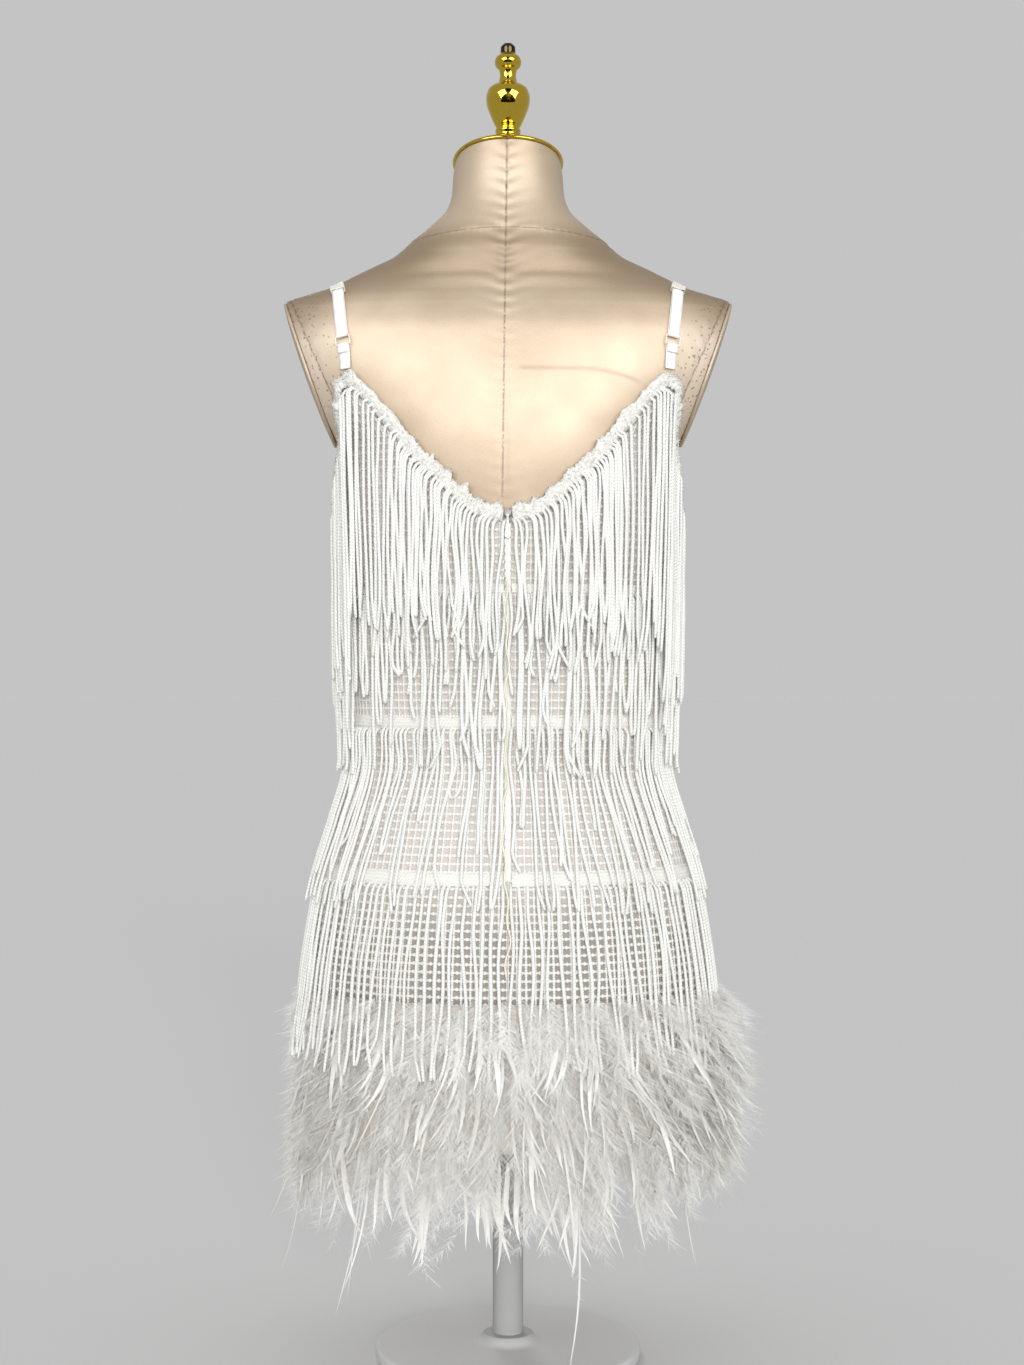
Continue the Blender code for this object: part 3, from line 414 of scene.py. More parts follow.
def satin_relief(point):
    """How far the satin stands off the foam: seams draw it in and pucker it beside them."""
    x, z = point.x, point.z
    rise = 0.0
    if point.y > -0.01 and z > 0.62:
        aside = abs(x - back_seam_x(z))
        sway = 0.8 * drift(3.0 if x > 0 else -3.0, 0.0, z * 40)
        pucker = sin((z - 0.32 * aside) * 2 * pi / PUCKER_PITCH + 2.2 * sway)
        rise += 0.00085 * pucker * exp(-aside / 0.007) * min(1.0, aside / 0.0015)
        rise -= 0.0011 * exp(-((aside / 0.0012) ** 2))
    off = z - neck_seam_z(x) - 0.0006 * sin(x * 260)
    if abs(off) < 0.02:
        rise += 0.0008 / (1 + exp(-off / 0.0004)) * exp(-max(0.0, off) / 0.006)
        fine = sin(x * 2 * pi / NECK_PUCKER_PITCH + 3 * drift(x * 60, 0, 0))
        rise += 0.0003 * fine * exp(-abs(off) / 0.004)
    if z > ARM_FACE_FOOT - 0.02:
        room = arm_room(x, z)
        seam = arm_seam_off(x, z)
        if room < 0.06:
            sway = 2.5 * drift(z * 45, room * 60, x)
            fine = sin((z + 0.4 * room) * 2 * pi / ARM_PUCKER_PITCH + sway)
            rise += 0.0005 * fine * exp(-abs(seam) / (0.013 if seam > 0 else 0.008))
            rise -= 0.001 * exp(-((seam / 0.001) ** 2))
    rise += 0.0003 * drift(x * 22, point.y * 22, z * 14)
    return rise


def torso_place(_, column, row):
    turn = 360.0 * column / TORSO_COLUMNS
    z = TORSO_LEVELS[row]
    point = body_point(FORM_RINGS, turn, z)
    outward = Vector((point.x, point.y, 0.0)).normalized()
    return point + outward * satin_relief(point), (point.x, z)


satin, start = new_finish("champagne_satin", Metallic=0.22)
x, z = start.uv()
cloud = start.noise(9.0, 3.0, 0.6).ramp(0.3, 0.72)
fleck = start.noise(900.0, 2.0, 0.7)
stitches = start.noise(420.0, 1.0).ramp(0.3, 0.5)
centre_seam = 1 - abs(x - back_seam_x(z)).ramp(0.0002, 0.0013)
arm_seam = (1 - abs(arm_seam_off(x, z)).ramp(0.0002, 0.0011)) * z.ramp(0.73, 0.75)
neck_seam = 1 - abs(z - neck_seam_z(x)).ramp(0.0001, 0.0009)
seams = centre_seam.maths("MAXIMUM", arm_seam).maths("MAXIMUM", neck_seam) * stitches
pricks = 1 - start.node("TexVoronoi", None, {"Vector": start.spot(), "Scale": 230.0}).ramp(0.14, 0.27)
pricked = pricks * (1 - arm_room(x, z).ramp(0.014, 0.042)) * z.ramp(0.75, 0.78)
# Painted shadow of a crease that curves across the back on the wearer's right: a soft dark band in the
# colour, with no fold in the satin's shape.
beyond = (-1 * x - 0.057).maths("MAXIMUM", 0.0)
crease = 1 - abs(z - CREASE_SHADOW_Z + 4.2 * beyond * beyond).ramp(0.0, 0.0034)
crease_shadow = crease * start.where(1).ramp(0.0, 0.02) * (-1 * x).ramp(0.004, 0.014)
crease_shadow *= 1 - (-1 * x).ramp(0.095, 0.112)
# Painted shade: the satin is darkened on the upward slopes of the upper back and shoulders, where less
# light falls, and more lightly on the neck, and at the bottom of the V. Painted light: it is paler beside
# the armholes, below the shoulders.
upper_slope_shade = (z + 0.02 * abs(x).ramp(0.11, 0.16)).ramp(0.835, 0.88)
upper_slope_shade *= 1 - 0.7 * z.ramp(0.9, 0.925)
v_bottom_shade = 1 - z.ramp(0.69, 0.75)
beside_arms_light = abs(x).ramp(0.12, 0.16) * (1 - z.ramp(0.815, 0.85))
cloth_colour = (0.65 * cloud + 0.35 * fleck).mix((0.47, 0.36, 0.25), (0.65, 0.53, 0.395))
painted_light_cloth = (0.55 * beside_arms_light).mix(cloth_colour, (0.86, 0.74, 0.61))
painted_shade_cloth = (0.74 * upper_slope_shade + 0.5 * v_bottom_shade).mix(painted_light_cloth, (0.19, 0.13, 0.066))
# Dark stitches and pin pricks, and the crease's painted shadow in the same dark colour.
marks_and_crease_shadow = (0.66 * seams).maths("MAXIMUM", 0.7 * pricked).maths("MAXIMUM", 0.3 * crease_shadow)
paint(marks_and_crease_shadow, painted_shade_cloth, (0.16, 0.1, 0.075))
feed("Roughness", 0.42 + 0.16 * start.noise(35.0, 3.0))
relief(fleck, 0.00016)

bm = grid_mesh([0], TORSO_COLUMNS, len(TORSO_LEVELS) - 1, torso_place, flip=True)
arm_outlines = []
for side in (1, -1):
    normal = Vector((side, 0.0, -ARM_FACE_SLOPE)).normalized()
    faces = [f for f in bm.faces if all(v.co.z > ARM_FACE_FOOT - 0.004 for v in f.verts)]
    edges = {e for f in faces for e in f.edges}
    cut = bmesh.ops.bisect_plane(
        bm, geom=faces + list(edges) + list({v for e in edges for v in e.verts}), dist=WELD,
        plane_co=(side * ARM_FACE_X, 0.0, ARM_FACE_FOOT), plane_no=normal, clear_outer=True,
    )["geom_cut"]
    rim = [v.co.copy() for v in cut if isinstance(v, bmesh.types.BMVert)]
    centre = sum(rim, Vector()) / len(rim)
    rim.sort(key=lambda p, c=centre: atan2(p.y - c.y, p.z - c.z))
    arm_outlines.append((centre, rim, normal))
bmesh.ops.holes_fill(bm, edges=[e for e in bm.edges if e.is_boundary], sides=0)
piece("satin_torso", bm, satin, "form_satin", "form_torso", edge_angle=50)

# Armhole covers: padded satin ovals with a corded edge, screwed onto the flat armhole faces.
# Each is gathered a little into its edge, so the satin ripples round the rim.
COVER_LOOPS = (
    (0.97, 0.0003), (0.992, 0.001), (0.998, 0.002), (0.985, 0.003), (0.955, 0.0034),
    (0.9, 0.0036), (0.78, 0.0044), (0.55, 0.0052), (0.28, 0.0056), (0.0, 0.0057),
)
COVER_STEPS = 96
NEIGHBOURS = range(-3, 4)  # steps each side that a point of the rim is averaged with


def even_outline(centre, rim, normal):
    """The cut face's outline in even steps, with the cut's small notches smoothed."""
    across = Vector((0.0, 1.0, 0.0))
    upward = normal.cross(across)
    spokes = [point - centre for point in rim]
    polar = sorted((atan2(p.dot(across), p.dot(upward)), p.length) for p in spokes)
    polar = [(a + lap * pi, r) for lap in (-2, 0, 2) for a, r in polar]
    angles = [2 * pi * k / COVER_STEPS - pi for k in range(COVER_STEPS)]
    reaches = []
    for angle in angles:
        before = max(pair for pair in polar if pair[0] <= angle)
        after = min(pair for pair in polar if pair[0] > angle)
        share = (angle - before[0]) / (after[0] - before[0])
        reaches.append(before[1] + (after[1] - before[1]) * share)
    even = []
    for k, a in enumerate(angles):
        reach = sum(reaches[(k + j) % COVER_STEPS] for j in NEIGHBOURS) / len(NEIGHBOURS)
        even.append(centre + (across * sin(a) + upward * cos(a)) * reach)
    return even


for word, (centre, rim, normal) in zip(("left", "right"), arm_outlines):
    outline = even_outline(centre, rim, normal)

    def cover_place(_, column, row):
        share, height = COVER_LOOPS[row]
        point = outline[column % COVER_STEPS]
        gather = 0.0003 * sin(column * 1.9) * max(0.0, sin(pi * (1 - share) * 3.5))
        flat = (point - centre) * share
        return centre + flat + normal * (height + gather), (0.5 + flat.y, flat.z)

    bm = face_out(grid_mesh([0], COVER_STEPS, len(COVER_LOOPS) - 1, cover_place), normal)
    piece(f"armhole_cover_{word}", bm, satin, "form_satin", f"arm_plate_{word}")

# Neck cap and finial: spun and turned brass under a bright gold plate. The cap follows the
# neck's tilted oval top, and the finial is screwed down on its level seat.
Bead = namedtuple("Bead", "z radius")
FINIAL = table(Bead, [
    (0.9925, 0.013), (0.9965, 0.013), (1.001, 0.01), (1.0045, 0.0105), (1.006, 0.0097), (1.01, 0.0115),
    (1.018, 0.015), (1.0255, 0.0176), (1.031, 0.0182), (1.038, 0.0165), (1.042, 0.012), (1.044, 0.008),
    (1.05, 0.0067), (1.054, 0.0072), (1.0575, 0.0102), (1.061, 0.011), (1.065, 0.0098), (1.068, 0.0064),
    (1.0735, 0.006), (1.076, 0.004),
])
Dome = namedtuple("Dome", "step share height level")
CAP_DOME = table(Dome, [
    (0, 0.99, 0.0003, 0.0), (1, 1.03, 0.0003, 0.0), (3, 1.05, 0.0012, 0.0), (6, 1.03, 0.003, 0.0),
    (12, 0.8, 0.0085, 0.0), (18, 0.34, 0.013, 1.0), (20, 0.0, 0.013, 1.0),
])
FINIAL_SEAT, NECK_STEPS = 0.0145, 96

gold, start = new_finish("gold_plate", Metallic=1.0)
smear = start.noise(60.0, 3.0, 0.6)
tip = start.where(2).ramp(1.0665, 1.069)
plate = smear.mix((0.46, 0.32, 0.03), (0.64, 0.46, 0.06))
paint(tip, plate, (0.045, 0.035, 0.02))
feed("Roughness", 0.04 + 0.07 * smear)

neck_rim = [body_point(FORM_RINGS, 360.0 * k / NECK_STEPS, FORM_TOP) for k in range(NECK_STEPS)]
neck_middle = sum(neck_rim, Vector()) / len(neck_rim)
neck_up = Vector((0.0, -FORM_RINGS[-1].lean, 1.0)).normalized()


def cap_place(_, column, row):
    point = neck_rim[column % NECK_STEPS]
    share = between(CAP_DOME, "share", row)
    tilted = neck_middle + (point - neck_middle) * share + neck_up * between(CAP_DOME, "height", row)
    flat = Vector((point.x, point.y - neck_middle.y, 0.0)).normalized()
    flat = flat * FINIAL_SEAT * min(1.0, share / CAP_DOME[-2].share)
    seat = Vector((flat.x, flat.y + neck_middle.y, FINIAL[0].z - 0.0003))
    return tilted.lerp(seat, between(CAP_DOME, "level", row)), (column * 0.003, row * 0.002)


bm = face_out(grid_mesh([0], NECK_STEPS, CAP_DOME[-1].step, cap_place), Vector((0.0, 0.0, 1.0)))
piece("gold_neck_cap", bm, gold, "gold", "neck_cap")


def spun(profile, centre, steps):
    """A profile of (radius, z), turned once round a vertical line through centre."""
    bm = bmesh.new()
    verts = [bm.verts.new((centre.x + r, centre.y, z)) for r, z in profile]
    edges = [bm.edges.new(pair) for pair in zip(verts, verts[1:])]
    bmesh.ops.spin(
        bm, geom=verts + edges, cent=(centre.x, centre.y, 0.0), axis=(0.0, 0.0, 1.0),
        angle=2 * pi, steps=steps, use_merge=True,
    )
    bmesh.ops.remove_doubles(bm, verts=bm.verts, dist=WELD)
    return face_out(bm)


finial_levels = steps_of(FINIAL[0].z, FINIAL[-1].z, 110)
finial_outline = [(0.0, FINIAL[0].z)] + [(between(FINIAL, "radius", z), z) for z in finial_levels]
finial_outline += [(0.0025, FINIAL[-1].z + 0.0004), (0.0, FINIAL[-1].z + 0.0005)]
piece("gold_finial", spun(finial_outline, neck_middle, 56), gold, "gold", "finial")

# Stand: a low round foot and a pole, both powder coated in the studio's pale grey, so that the
# form seems to float. The pole ends at the form's flat underside.
BASE_RADIUS, BASE_HEIGHT, BASE_EDGE, POLE_RADIUS = 0.108, 0.009, 0.003, 0.0125
COLLAR = ((0.03, 0.001), (0.024, 0.003), (0.02, 0.008), (0.0, 0.008))   # radius, rise
coat, start = new_finish("pale_coated_steel", Roughness=0.8, Specular_IOR_Level=0.1)
peel = start.noise(600.0, 2.0)
foot_tone = peel.mix(grey(tone * 0.96), grey(tone))
pole_tone = peel.mix(grey(tone * 0.62), grey(tone * 0.66))
paint(start.where(2).ramp(0.012, 0.02), foot_tone, pole_tone)
relief(peel, 0.00008)
foot = [(0.0, 0.0), (BASE_RADIUS - 0.001, 0.0), (BASE_RADIUS, 0.001)]
foot.append((BASE_RADIUS, BASE_HEIGHT - BASE_EDGE))
for angle in range(15, 105, 15):
    a = radians(angle)
    foot.append((BASE_RADIUS - BASE_EDGE * (1 - cos(a)), BASE_HEIGHT - BASE_EDGE * (1 - sin(a))))
foot += [(r, BASE_HEIGHT + rise) for r, rise in COLLAR]
origin = Vector((0.0, 0.0, 0.0))
piece("coated_base", spun(foot, origin, 96), coat, "steel", "stand_base", edge_angle=40)
pole_low, pole_high = foot[-1][1] + 0.0003, FORM_FOOT - 0.0003
pole = [(0.0, pole_low), (POLE_RADIUS, pole_low), (POLE_RADIUS, pole_high), (0.0, pole_high)]
piece("coated_pole", spun(pole, origin, 40), coat, "steel", "stand_pole", edge_angle=40)

# Underskirt: two panels of sheer taupe lining that hang from inside the shell's hem, with the
# feather tapes sewn on. It falls in shallow uneven flutes and shows only from below.
Ease = namedtuple("Ease", "z gap")
SHELL_EASE = table(Ease, [
    (0.32, 0.003), (0.39, 0.003), (0.49, 0.005), (0.6, 0.0028), (0.665, 0.0018), (0.8, 0.0016),
])
SHELL_HEM, SHELL_TOP, UNDERSKIRT_HEM, UNDERSKIRT_TOP = 0.302, 0.8, 0.19, 0.312
CLOTH, UNDERSKIRT_TUCK, UNDERSKIRT_CLOTH = 0.0015, 0.0008, 0.0012
LINING_COLUMNS, LINING_ROWS = 120, 30
HIP_RADIUS = 0.148         # metres of lining for each radian of turn


def eased(ring):
    grow = between(SHELL_EASE, "gap", ring.z) + CLOTH
    return Ring(ring.z, ring.half_width + grow, ring.front + grow, ring.back + grow)


DRESS_RINGS = table(Ring, [
    (0.0, 0.185, 0.133, 0.146), (0.15, 0.173, 0.122, 0.135), (0.19, 0.1705, 0.1195, 0.1325),
    (0.248, 0.1665, 0.115, 0.129), (0.302, 0.1635, 0.1105, 0.127),
]) + tuple(eased(ring) for ring in FORM_RINGS if SHELL_HEM < ring.z < 0.86)


def dress_point(turn, z, out=0.0):
    return body_point(DRESS_RINGS, turn, z, out)


def under_point(turn, z, out=0.0):
    return dress_point(turn, z, out - CLOTH - UNDERSKIRT_TUCK)


lining, start = new_finish("sheer_taupe_lining", Roughness=0.8)
u, v = start.uv()
weave = u.wave(0.0009) * v.wave(0.0009)
paint(0.6 * start.noise(14.0, 3.0) + 0.4 * weave, (0.6, 0.55, 0.48), (0.78, 0.73, 0.66))
relief(weave, 0.0001)

Flute = namedtuple("Flute", "turn half_turn depth top")
FLUTES = table(Flute, [
    (-64, 5.0, 0.0012, 0.285), (-31, 3.5, 0.0016, 0.27), (9, 5.5, 0.0011, 0.29),
    (38, 4.0, 0.0018, 0.262), (71, 6.0, 0.0013, 0.28), (118, 4.5, 0.0015, 0.275),
    (149, 6.5, 0.001, 0.29), (187, 4.0, 0.0017, 0.268), (214, 5.5, 0.0012, 0.284),
    (251, 3.8, 0.0016, 0.272),
])


def flute_depth(turn, z):
    """The flutes fade out towards the seam under the shell's hem."""
    depth = 0.0
    for flute in FLUTES:
        fallen = max(0.0, flute.top - z) / (flute.top - UNDERSKIRT_HEM)
        depth += flute.depth * fallen * exp(-(((turn - flute.turn) / flute.half_turn) ** 2))
    return depth


for word, first, last in (("back", -90.0, 90.0), ("front", 90.0, 270.0)):
    def lining_place(_, column, row):
        turn = first + (last - first) * column / LINING_COLUMNS
        turn += 0.04 if column == 0 else -0.04 if column == LINING_COLUMNS else 0.0
        z = UNDERSKIRT_HEM + (UNDERSKIRT_TOP - UNDERSKIRT_HEM) * max(0, row - 1) / (LINING_ROWS - 1)
        out = -UNDERSKIRT_CLOTH if row == 0 else -flute_depth(turn, z)
        return under_point(turn, z, out), (radians(turn) * HIP_RADIUS, z)

    bm = grid_mesh([0], LINING_COLUMNS, LINING_ROWS, lining_place, flip=True)
    made = piece(f"lining_{word}", bm, lining, "lining", f"underskirt_{word}")

# Shell: one front and two backs of open raschel knit in ivory chainette, backed with the taupe
# lining. Chains run up it, beaded courses cross it, and the lining shows in each window.
ZIP_FOOT, ZIP_OPENING, SEAM_GAP = 0.4, 0.002, 0.0003
Edge = namedtuple("Edge", "turn z")
TOP_EDGE = table(Edge, [
    (0.0, 0.684), (8.5, 0.688), (15.5, 0.7), (22.0, 0.716), (30.0, 0.733), (36.5, 0.755), (40.0, 0.779),
    (43.5, 0.792), (47.5, 0.789), (53.0, 0.775), (58.5, 0.763), (64.0, 0.75), (74.0, 0.72),
    (82.0, 0.692), (90.0, 0.676), (98.0, 0.692), (106.0, 0.718), (116.0, 0.745), (121.5, 0.757),
    (127.0, 0.768), (132.5, 0.78), (136.5, 0.783), (140.0, 0.777), (143.5, 0.764), (150.0, 0.75),
    (158.0, 0.735), (164.5, 0.724), (171.5, 0.715), (180.0, 0.712),
])
CHAINS = 144               # upright chains all round
COURSE = 0.0063            # height of one window with its course
RIDGE = 0.0014             # half a chain's or a course's width
RIDGE_RISE = 0.0008
CHAIN_TURN = 360.0 / CHAINS
RIDGE_TURN = CHAIN_TURN * RIDGE / 0.0059


def top_edge_z(turn):
    around = round(turn % 360.0, 3)
    return between(TOP_EDGE, "z", min(around, round(360.0 - around, 3)))


knit, start = new_finish("ivory_raschel_knit", Roughness=0.78)
u, v = start.uv()
chain = (u * CHAINS).maths("PINGPONG", 0.5)
course = (v / COURSE).maths("PINGPONG", 0.5)
wander = start.noise(260.0, 2.0) * 0.06
course_bead = (u * CHAINS * 2).wave(1.0)
chain_bead = v.wave(0.0021)
on_chain = 1 - (chain + wander + 0.05 * (1 - chain_bead)).ramp(0.12, 0.24)
on_course = 1 - (course + wander + 0.12 * (1 - course_bead)).ramp(0.21, 0.33)
thread = on_chain.maths("MAXIMUM", on_course)
bead = on_course * course_bead + on_chain * chain_bead * (1 - on_course)
worn = start.noise(16.0, 3.0)
yarn = (0.55 * bead + 0.45 * worn).mix((0.78, 0.775, 0.73), (0.96, 0.955, 0.92))
window = start.noise(700.0, 2.0).mix((0.55, 0.5, 0.455), (0.7, 0.65, 0.6))
# Painted shade: the lining seen through the windows is darker in the shell's lowest 45 mm, where it lies
# in shadow, blending back by 100 mm above the hem.
shaded_hip_window = start.noise(700.0, 2.0).mix((0.27, 0.245, 0.22), (0.39, 0.355, 0.32))
paint(thread, v.ramp(0.045, 0.1).mix(shaded_hip_window, window), yarn)
relief(thread * (0.55 + 0.45 * bead), 0.0007)


def shell_drape(turn, z):
    """Where the knit stands a little slack of the form."""
    a = radians(turn)
    return 0.0007 * drift(cos(a) * 2.1, sin(a) * 2.1, z * 9)


SHELL_ROWS, course_z = [SHELL_HEM, SHELL_HEM], SHELL_HEM + COURSE - RIDGE
while course_z < SHELL_TOP:    # each course's lower edge, crown and upper edge
    SHELL_ROWS += [course_z, course_z + RIDGE, course_z + 2 * RIDGE]
    course_z += COURSE


def shell_turns(first, last):
    """Columns at each chain's edges and crown, and at the panel's edges."""
    turns = []
    for k in range(-CHAINS, 2 * CHAINS):
        middle = k * CHAIN_TURN
        for off in (-RIDGE_TURN, 0.0, RIDGE_TURN):
            if first + 0.3 < middle + off < last - 0.3:
                turns.append((middle + off, off == 0.0))
    return [(first, False)] + turns + [(last, False)]


for word, first, last, wide in (
    ("back_left", 0.0, 90.0, 0.235), ("front", 90.0, 270.0, 0.46), ("back_right", 270.0, 360.0, 0.235),
):
    turns = shell_turns(first, last)

    def shell_place(_, column, row):
        turn, on_chain_crown = turns[column]
        z = min(SHELL_ROWS[row], top_edge_z(turn))
        crown = on_chain_crown or (row > 1 and (row - 2) % 3 == 1)
        out = shell_drape(turn, z) + (RIDGE_RISE if crown else 0.0) - 0.0004
        if row == 0:
            out = -CLOTH
        point = dress_point(turn, z, out)
        if column in (0, len(turns) - 1):
            gap = ZIP_OPENING if turn % 360.0 == 0.0 and z > ZIP_FOOT else SEAM_GAP / 2
            along = (dress_point(turn + 1.0, z) - dress_point(turn - 1.0, z)).normalized()
            point += along * (gap if column == 0 else -gap)
        return point, (turn / 360.0, z - SHELL_HEM)

    bm = grid_mesh([0], len(turns) - 1, len(SHELL_ROWS) - 1, shell_place, flip=True)
    made = piece(f"knit_shell_{word}", bm, knit, "knit", f"shell_{word}")

# Edge trim: a bouclé gimp, 10 mm wide, sewn flat along the V back, the V front and the armholes.
# Its loops are drawn up into nubs, so its outline is fuzzy and lightly scalloped.
gimp, start = new_finish("ivory_gimp", Roughness=0.9)
curl = start.noise(430.0, 4.0, 0.7)
paint(curl.ramp(0.32, 0.58), (0.6, 0.59, 0.54), (0.93, 0.925, 0.88))
relief(curl, 0.0009)

TRIM_STEPS, TRIM_SIDES = 640, 10
TRIM_DROP = 0.0046         # the trim's middle lies this far below the shell's edge
TRIM_HALF_HEIGHT, TRIM_HALF_DEPTH = 0.006, 0.0031
TRIM_PITCH, NUB_PITCH, YARN_HALF_WIDTH = 0.0019, 0.019, 0.00032
NUB_COUNT, FUZZ_COUNT = 90, 2600
rng = random.Random(11)
trim_line = [
    dress_point(turn, top_edge_z(turn) - TRIM_DROP, 0.0012) for turn in steps_of(1.1, 358.9, TRIM_STEPS)
]
nubs = [rng.random() for _ in range(NUB_COUNT)]


def line_frame(line, row):
    """A point of a line, with the directions along it and off the body there."""
    point = line[row]
    ahead = (line[min(row + 1, len(line) - 1)] - line[max(row - 1, 0)]).normalized()
    outward = Vector((point.x, point.y, 0.0)).normalized()
    return point, ahead, (outward - ahead * outward.dot(ahead)).normalized()


def trim_frame(row):
    point, ahead, outward = line_frame(trim_line, row)
    up = ahead.cross(outward)
    return point, ahead, up if up.z > 0 else -up, outward


def trim_size(row, a):
    """Half the trim's height and depth in one direction round it, nubs and roughness in."""
    run = row * TRIM_PITCH
    nub = nubs[int(run / NUB_PITCH) % len(nubs)]
    peak = exp(-((((run / NUB_PITCH) % 1.0) - 0.5) / 0.17) ** 2) * (0.3 + 0.9 * nub)
    rough = 1 + 0.55 * drift(run * 520, cos(a) * 2.4, sin(a) * 2.4)
    tall = TRIM_HALF_HEIGHT * rough * (1 + (0.6 * peak if sin(a) > 0 else 0.15 * peak))
    return tall, TRIM_HALF_DEPTH * rough * (1 + 0.5 * peak)


def trim_place(_, column, row):
    point, ahead, up, outward = trim_frame(row)
    a = 2 * pi * column / TRIM_SIDES
    tall, deep = (0.0, 0.0) if row in (0, TRIM_STEPS) else trim_size(row, a)
    return point + up * sin(a) * tall + outward * max(-0.0006, cos(a) * deep), (a, row * TRIM_PITCH)


piece("gimp_top_edge", face_out(grid_mesh([0], TRIM_SIDES, TRIM_STEPS, trim_place)), gimp, "fringe")

Loop = namedtuple("Loop", "row turned length run")
LOOP_SHAPE = ((0.0, 0.0), (0.8, 0.0003), (1.0, 0.0011), (0.1, 0.0016))   # share of its length, slide
loops = []
for _ in range(FUZZ_COUNT):
    row, turned = rng.randrange(2, TRIM_STEPS - 2), rng.uniform(-1.9, 1.9)
    loops.append(Loop(row, turned, rng.uniform(0.0008, 0.0024), rng.uniform(-1, 1)))


def loop_place(loop, column, row):
    """A drawn-up loop of yarn: out of the trim, over and back."""
    point, ahead, up, outward = trim_frame(loop.row)
    tall, deep = trim_size(loop.row, loop.turned + pi / 2)
    upward, off = up * cos(loop.turned), outward * abs(sin(loop.turned))
    root = point + (upward * tall + off * deep) * 0.85
    reach, slide = LOOP_SHAPE[row]
    thick = ahead.cross(upward + off) * YARN_HALF_WIDTH * (2 * column - 1)
    return root + (upward + off) * reach * loop.length + ahead * slide * loop.run + thick, (column, row)


piece("gimp_loops", grid_mesh(loops, 1, len(LOOP_SHAPE) - 1, loop_place), gimp, "fringe")

# Fringe headers: three flat knitted tapes, 9 to 12 mm tall, sewn round the bust, waist and hip
# with their fringe hanging from the lower edge. They stop at each side of the zip.
Tier = namedtuple("Tier", "word z low tall foot short long_share count clear")
Clear = namedtuple("Clear", "z out")
TIERS = table(Tier, [
    ("bust", 0.622, -0.0045, 0.008, 0.474, 0.56, 0.4, 208,
     table(Clear, [(0.466, 0.0064), (0.52, 0.005), (0.622, 0.001)])),
    ("waist", 0.513, -0.0005, 0.0095, 0.37, 0.462, 0.46, 178,
     table(Clear, [(0.365, 0.0056), (0.4, 0.004), (0.466, 0.0012), (0.513, 0.001)])),
    ("hip", 0.393, -0.001, 0.011, 0.245, 0.272, 0.8, 144,
     table(Clear, [(0.24, 0.0088), (0.27, 0.0068), (0.305, 0.0036), (0.35, 0.0016), (0.393, 0.001)])),
])
HEADER_ROWS = ((0.0, 0.0002), (0.06, 0.0015), (0.3, 0.002), (0.6, 0.0018), (0.92, 0.0014), (1.0, 0.0001))
HEADER_COLUMNS = 420
GIRTH_RADIUS = 0.135       # metres of cloth for each radian of turn
header, start = new_finish("knitted_header_tape", Roughness=0.85)
u, v = start.uv()
rib = 0.5 * (u + 0.6 * v).wave(0.0027) + 0.5 * v.wave(0.0026)
paint(0.6 * rib + 0.4 * start.noise(350.0, 3.0), (0.7, 0.695, 0.64), (0.98, 0.975, 0.94))
relief(rib, 0.0003)
for tier in TIERS:
    def header_place(_, column, row):
        turn = 1.3 + 357.4 * column / HEADER_COLUMNS
        share, out = HEADER_ROWS[row]
        up = tier.low + tier.tall * share
        waver = 0.0011 * drift(turn * 0.35, tier.z * 50, row * 0.4)
        lumpy = 0.0006 * drift(turn * 2.6, tier.z * 50, row * 1.3)
        return dress_point(turn, tier.z + up + waver, out + lumpy), (radians(turn) * GIRTH_RADIUS, up)

    bm = grid_mesh([0], HEADER_COLUMNS, len(HEADER_ROWS) - 1, header_place, flip=True)
    piece(f"header_tape_{tier.word}", bm, header, "fringe")

# Fringe: chainette cords, each a knitted tube of fine herringbone stitches. They hang from the
# gimp and from the header tapes, bunch together as they fall, and end cut or in a loop.
CORD_SIDES, CORD_STEPS, CORD_RADIUS, CORD_FLATNESS = 6, 20, 0.00148, 0.85
LOOP_SHARE = 0.45          # how many bunches have two cords that end in one loop
STEM = 0.0008              # how far a cord's root lies under the surface
chainette, start = new_finish("ivory_chainette", Roughness=0.62)
u, v = start.uv()
slant = (u * 2).maths("PINGPONG", 0.5)
stitch = (v + slant * 0.0024).wave(0.0026)
# Painted shade: each cord is darker between its stitches' loops and along the two grooves where the
# herringbone's halves meet. The same pattern gives the bump.
hollow_shade = slant.ramp(0.02, 0.2)
stitch_relief_and_shade = 0.35 + 0.65 * (stitch.ramp(0.12, 0.62) * (0.5 + 0.5 * hollow_shade))
lot = start.noise(18.0)
paint(0.8 * stitch_relief_and_shade + 0.2 * lot, (0.72, 0.72, 0.67), (1.0, 1.0, 0.975))
relief(stitch_relief_and_shade, 0.0004)

Root = namedtuple("Root", "turn lean bend level")
Cord = namedtuple("Cord", "points runs thick")


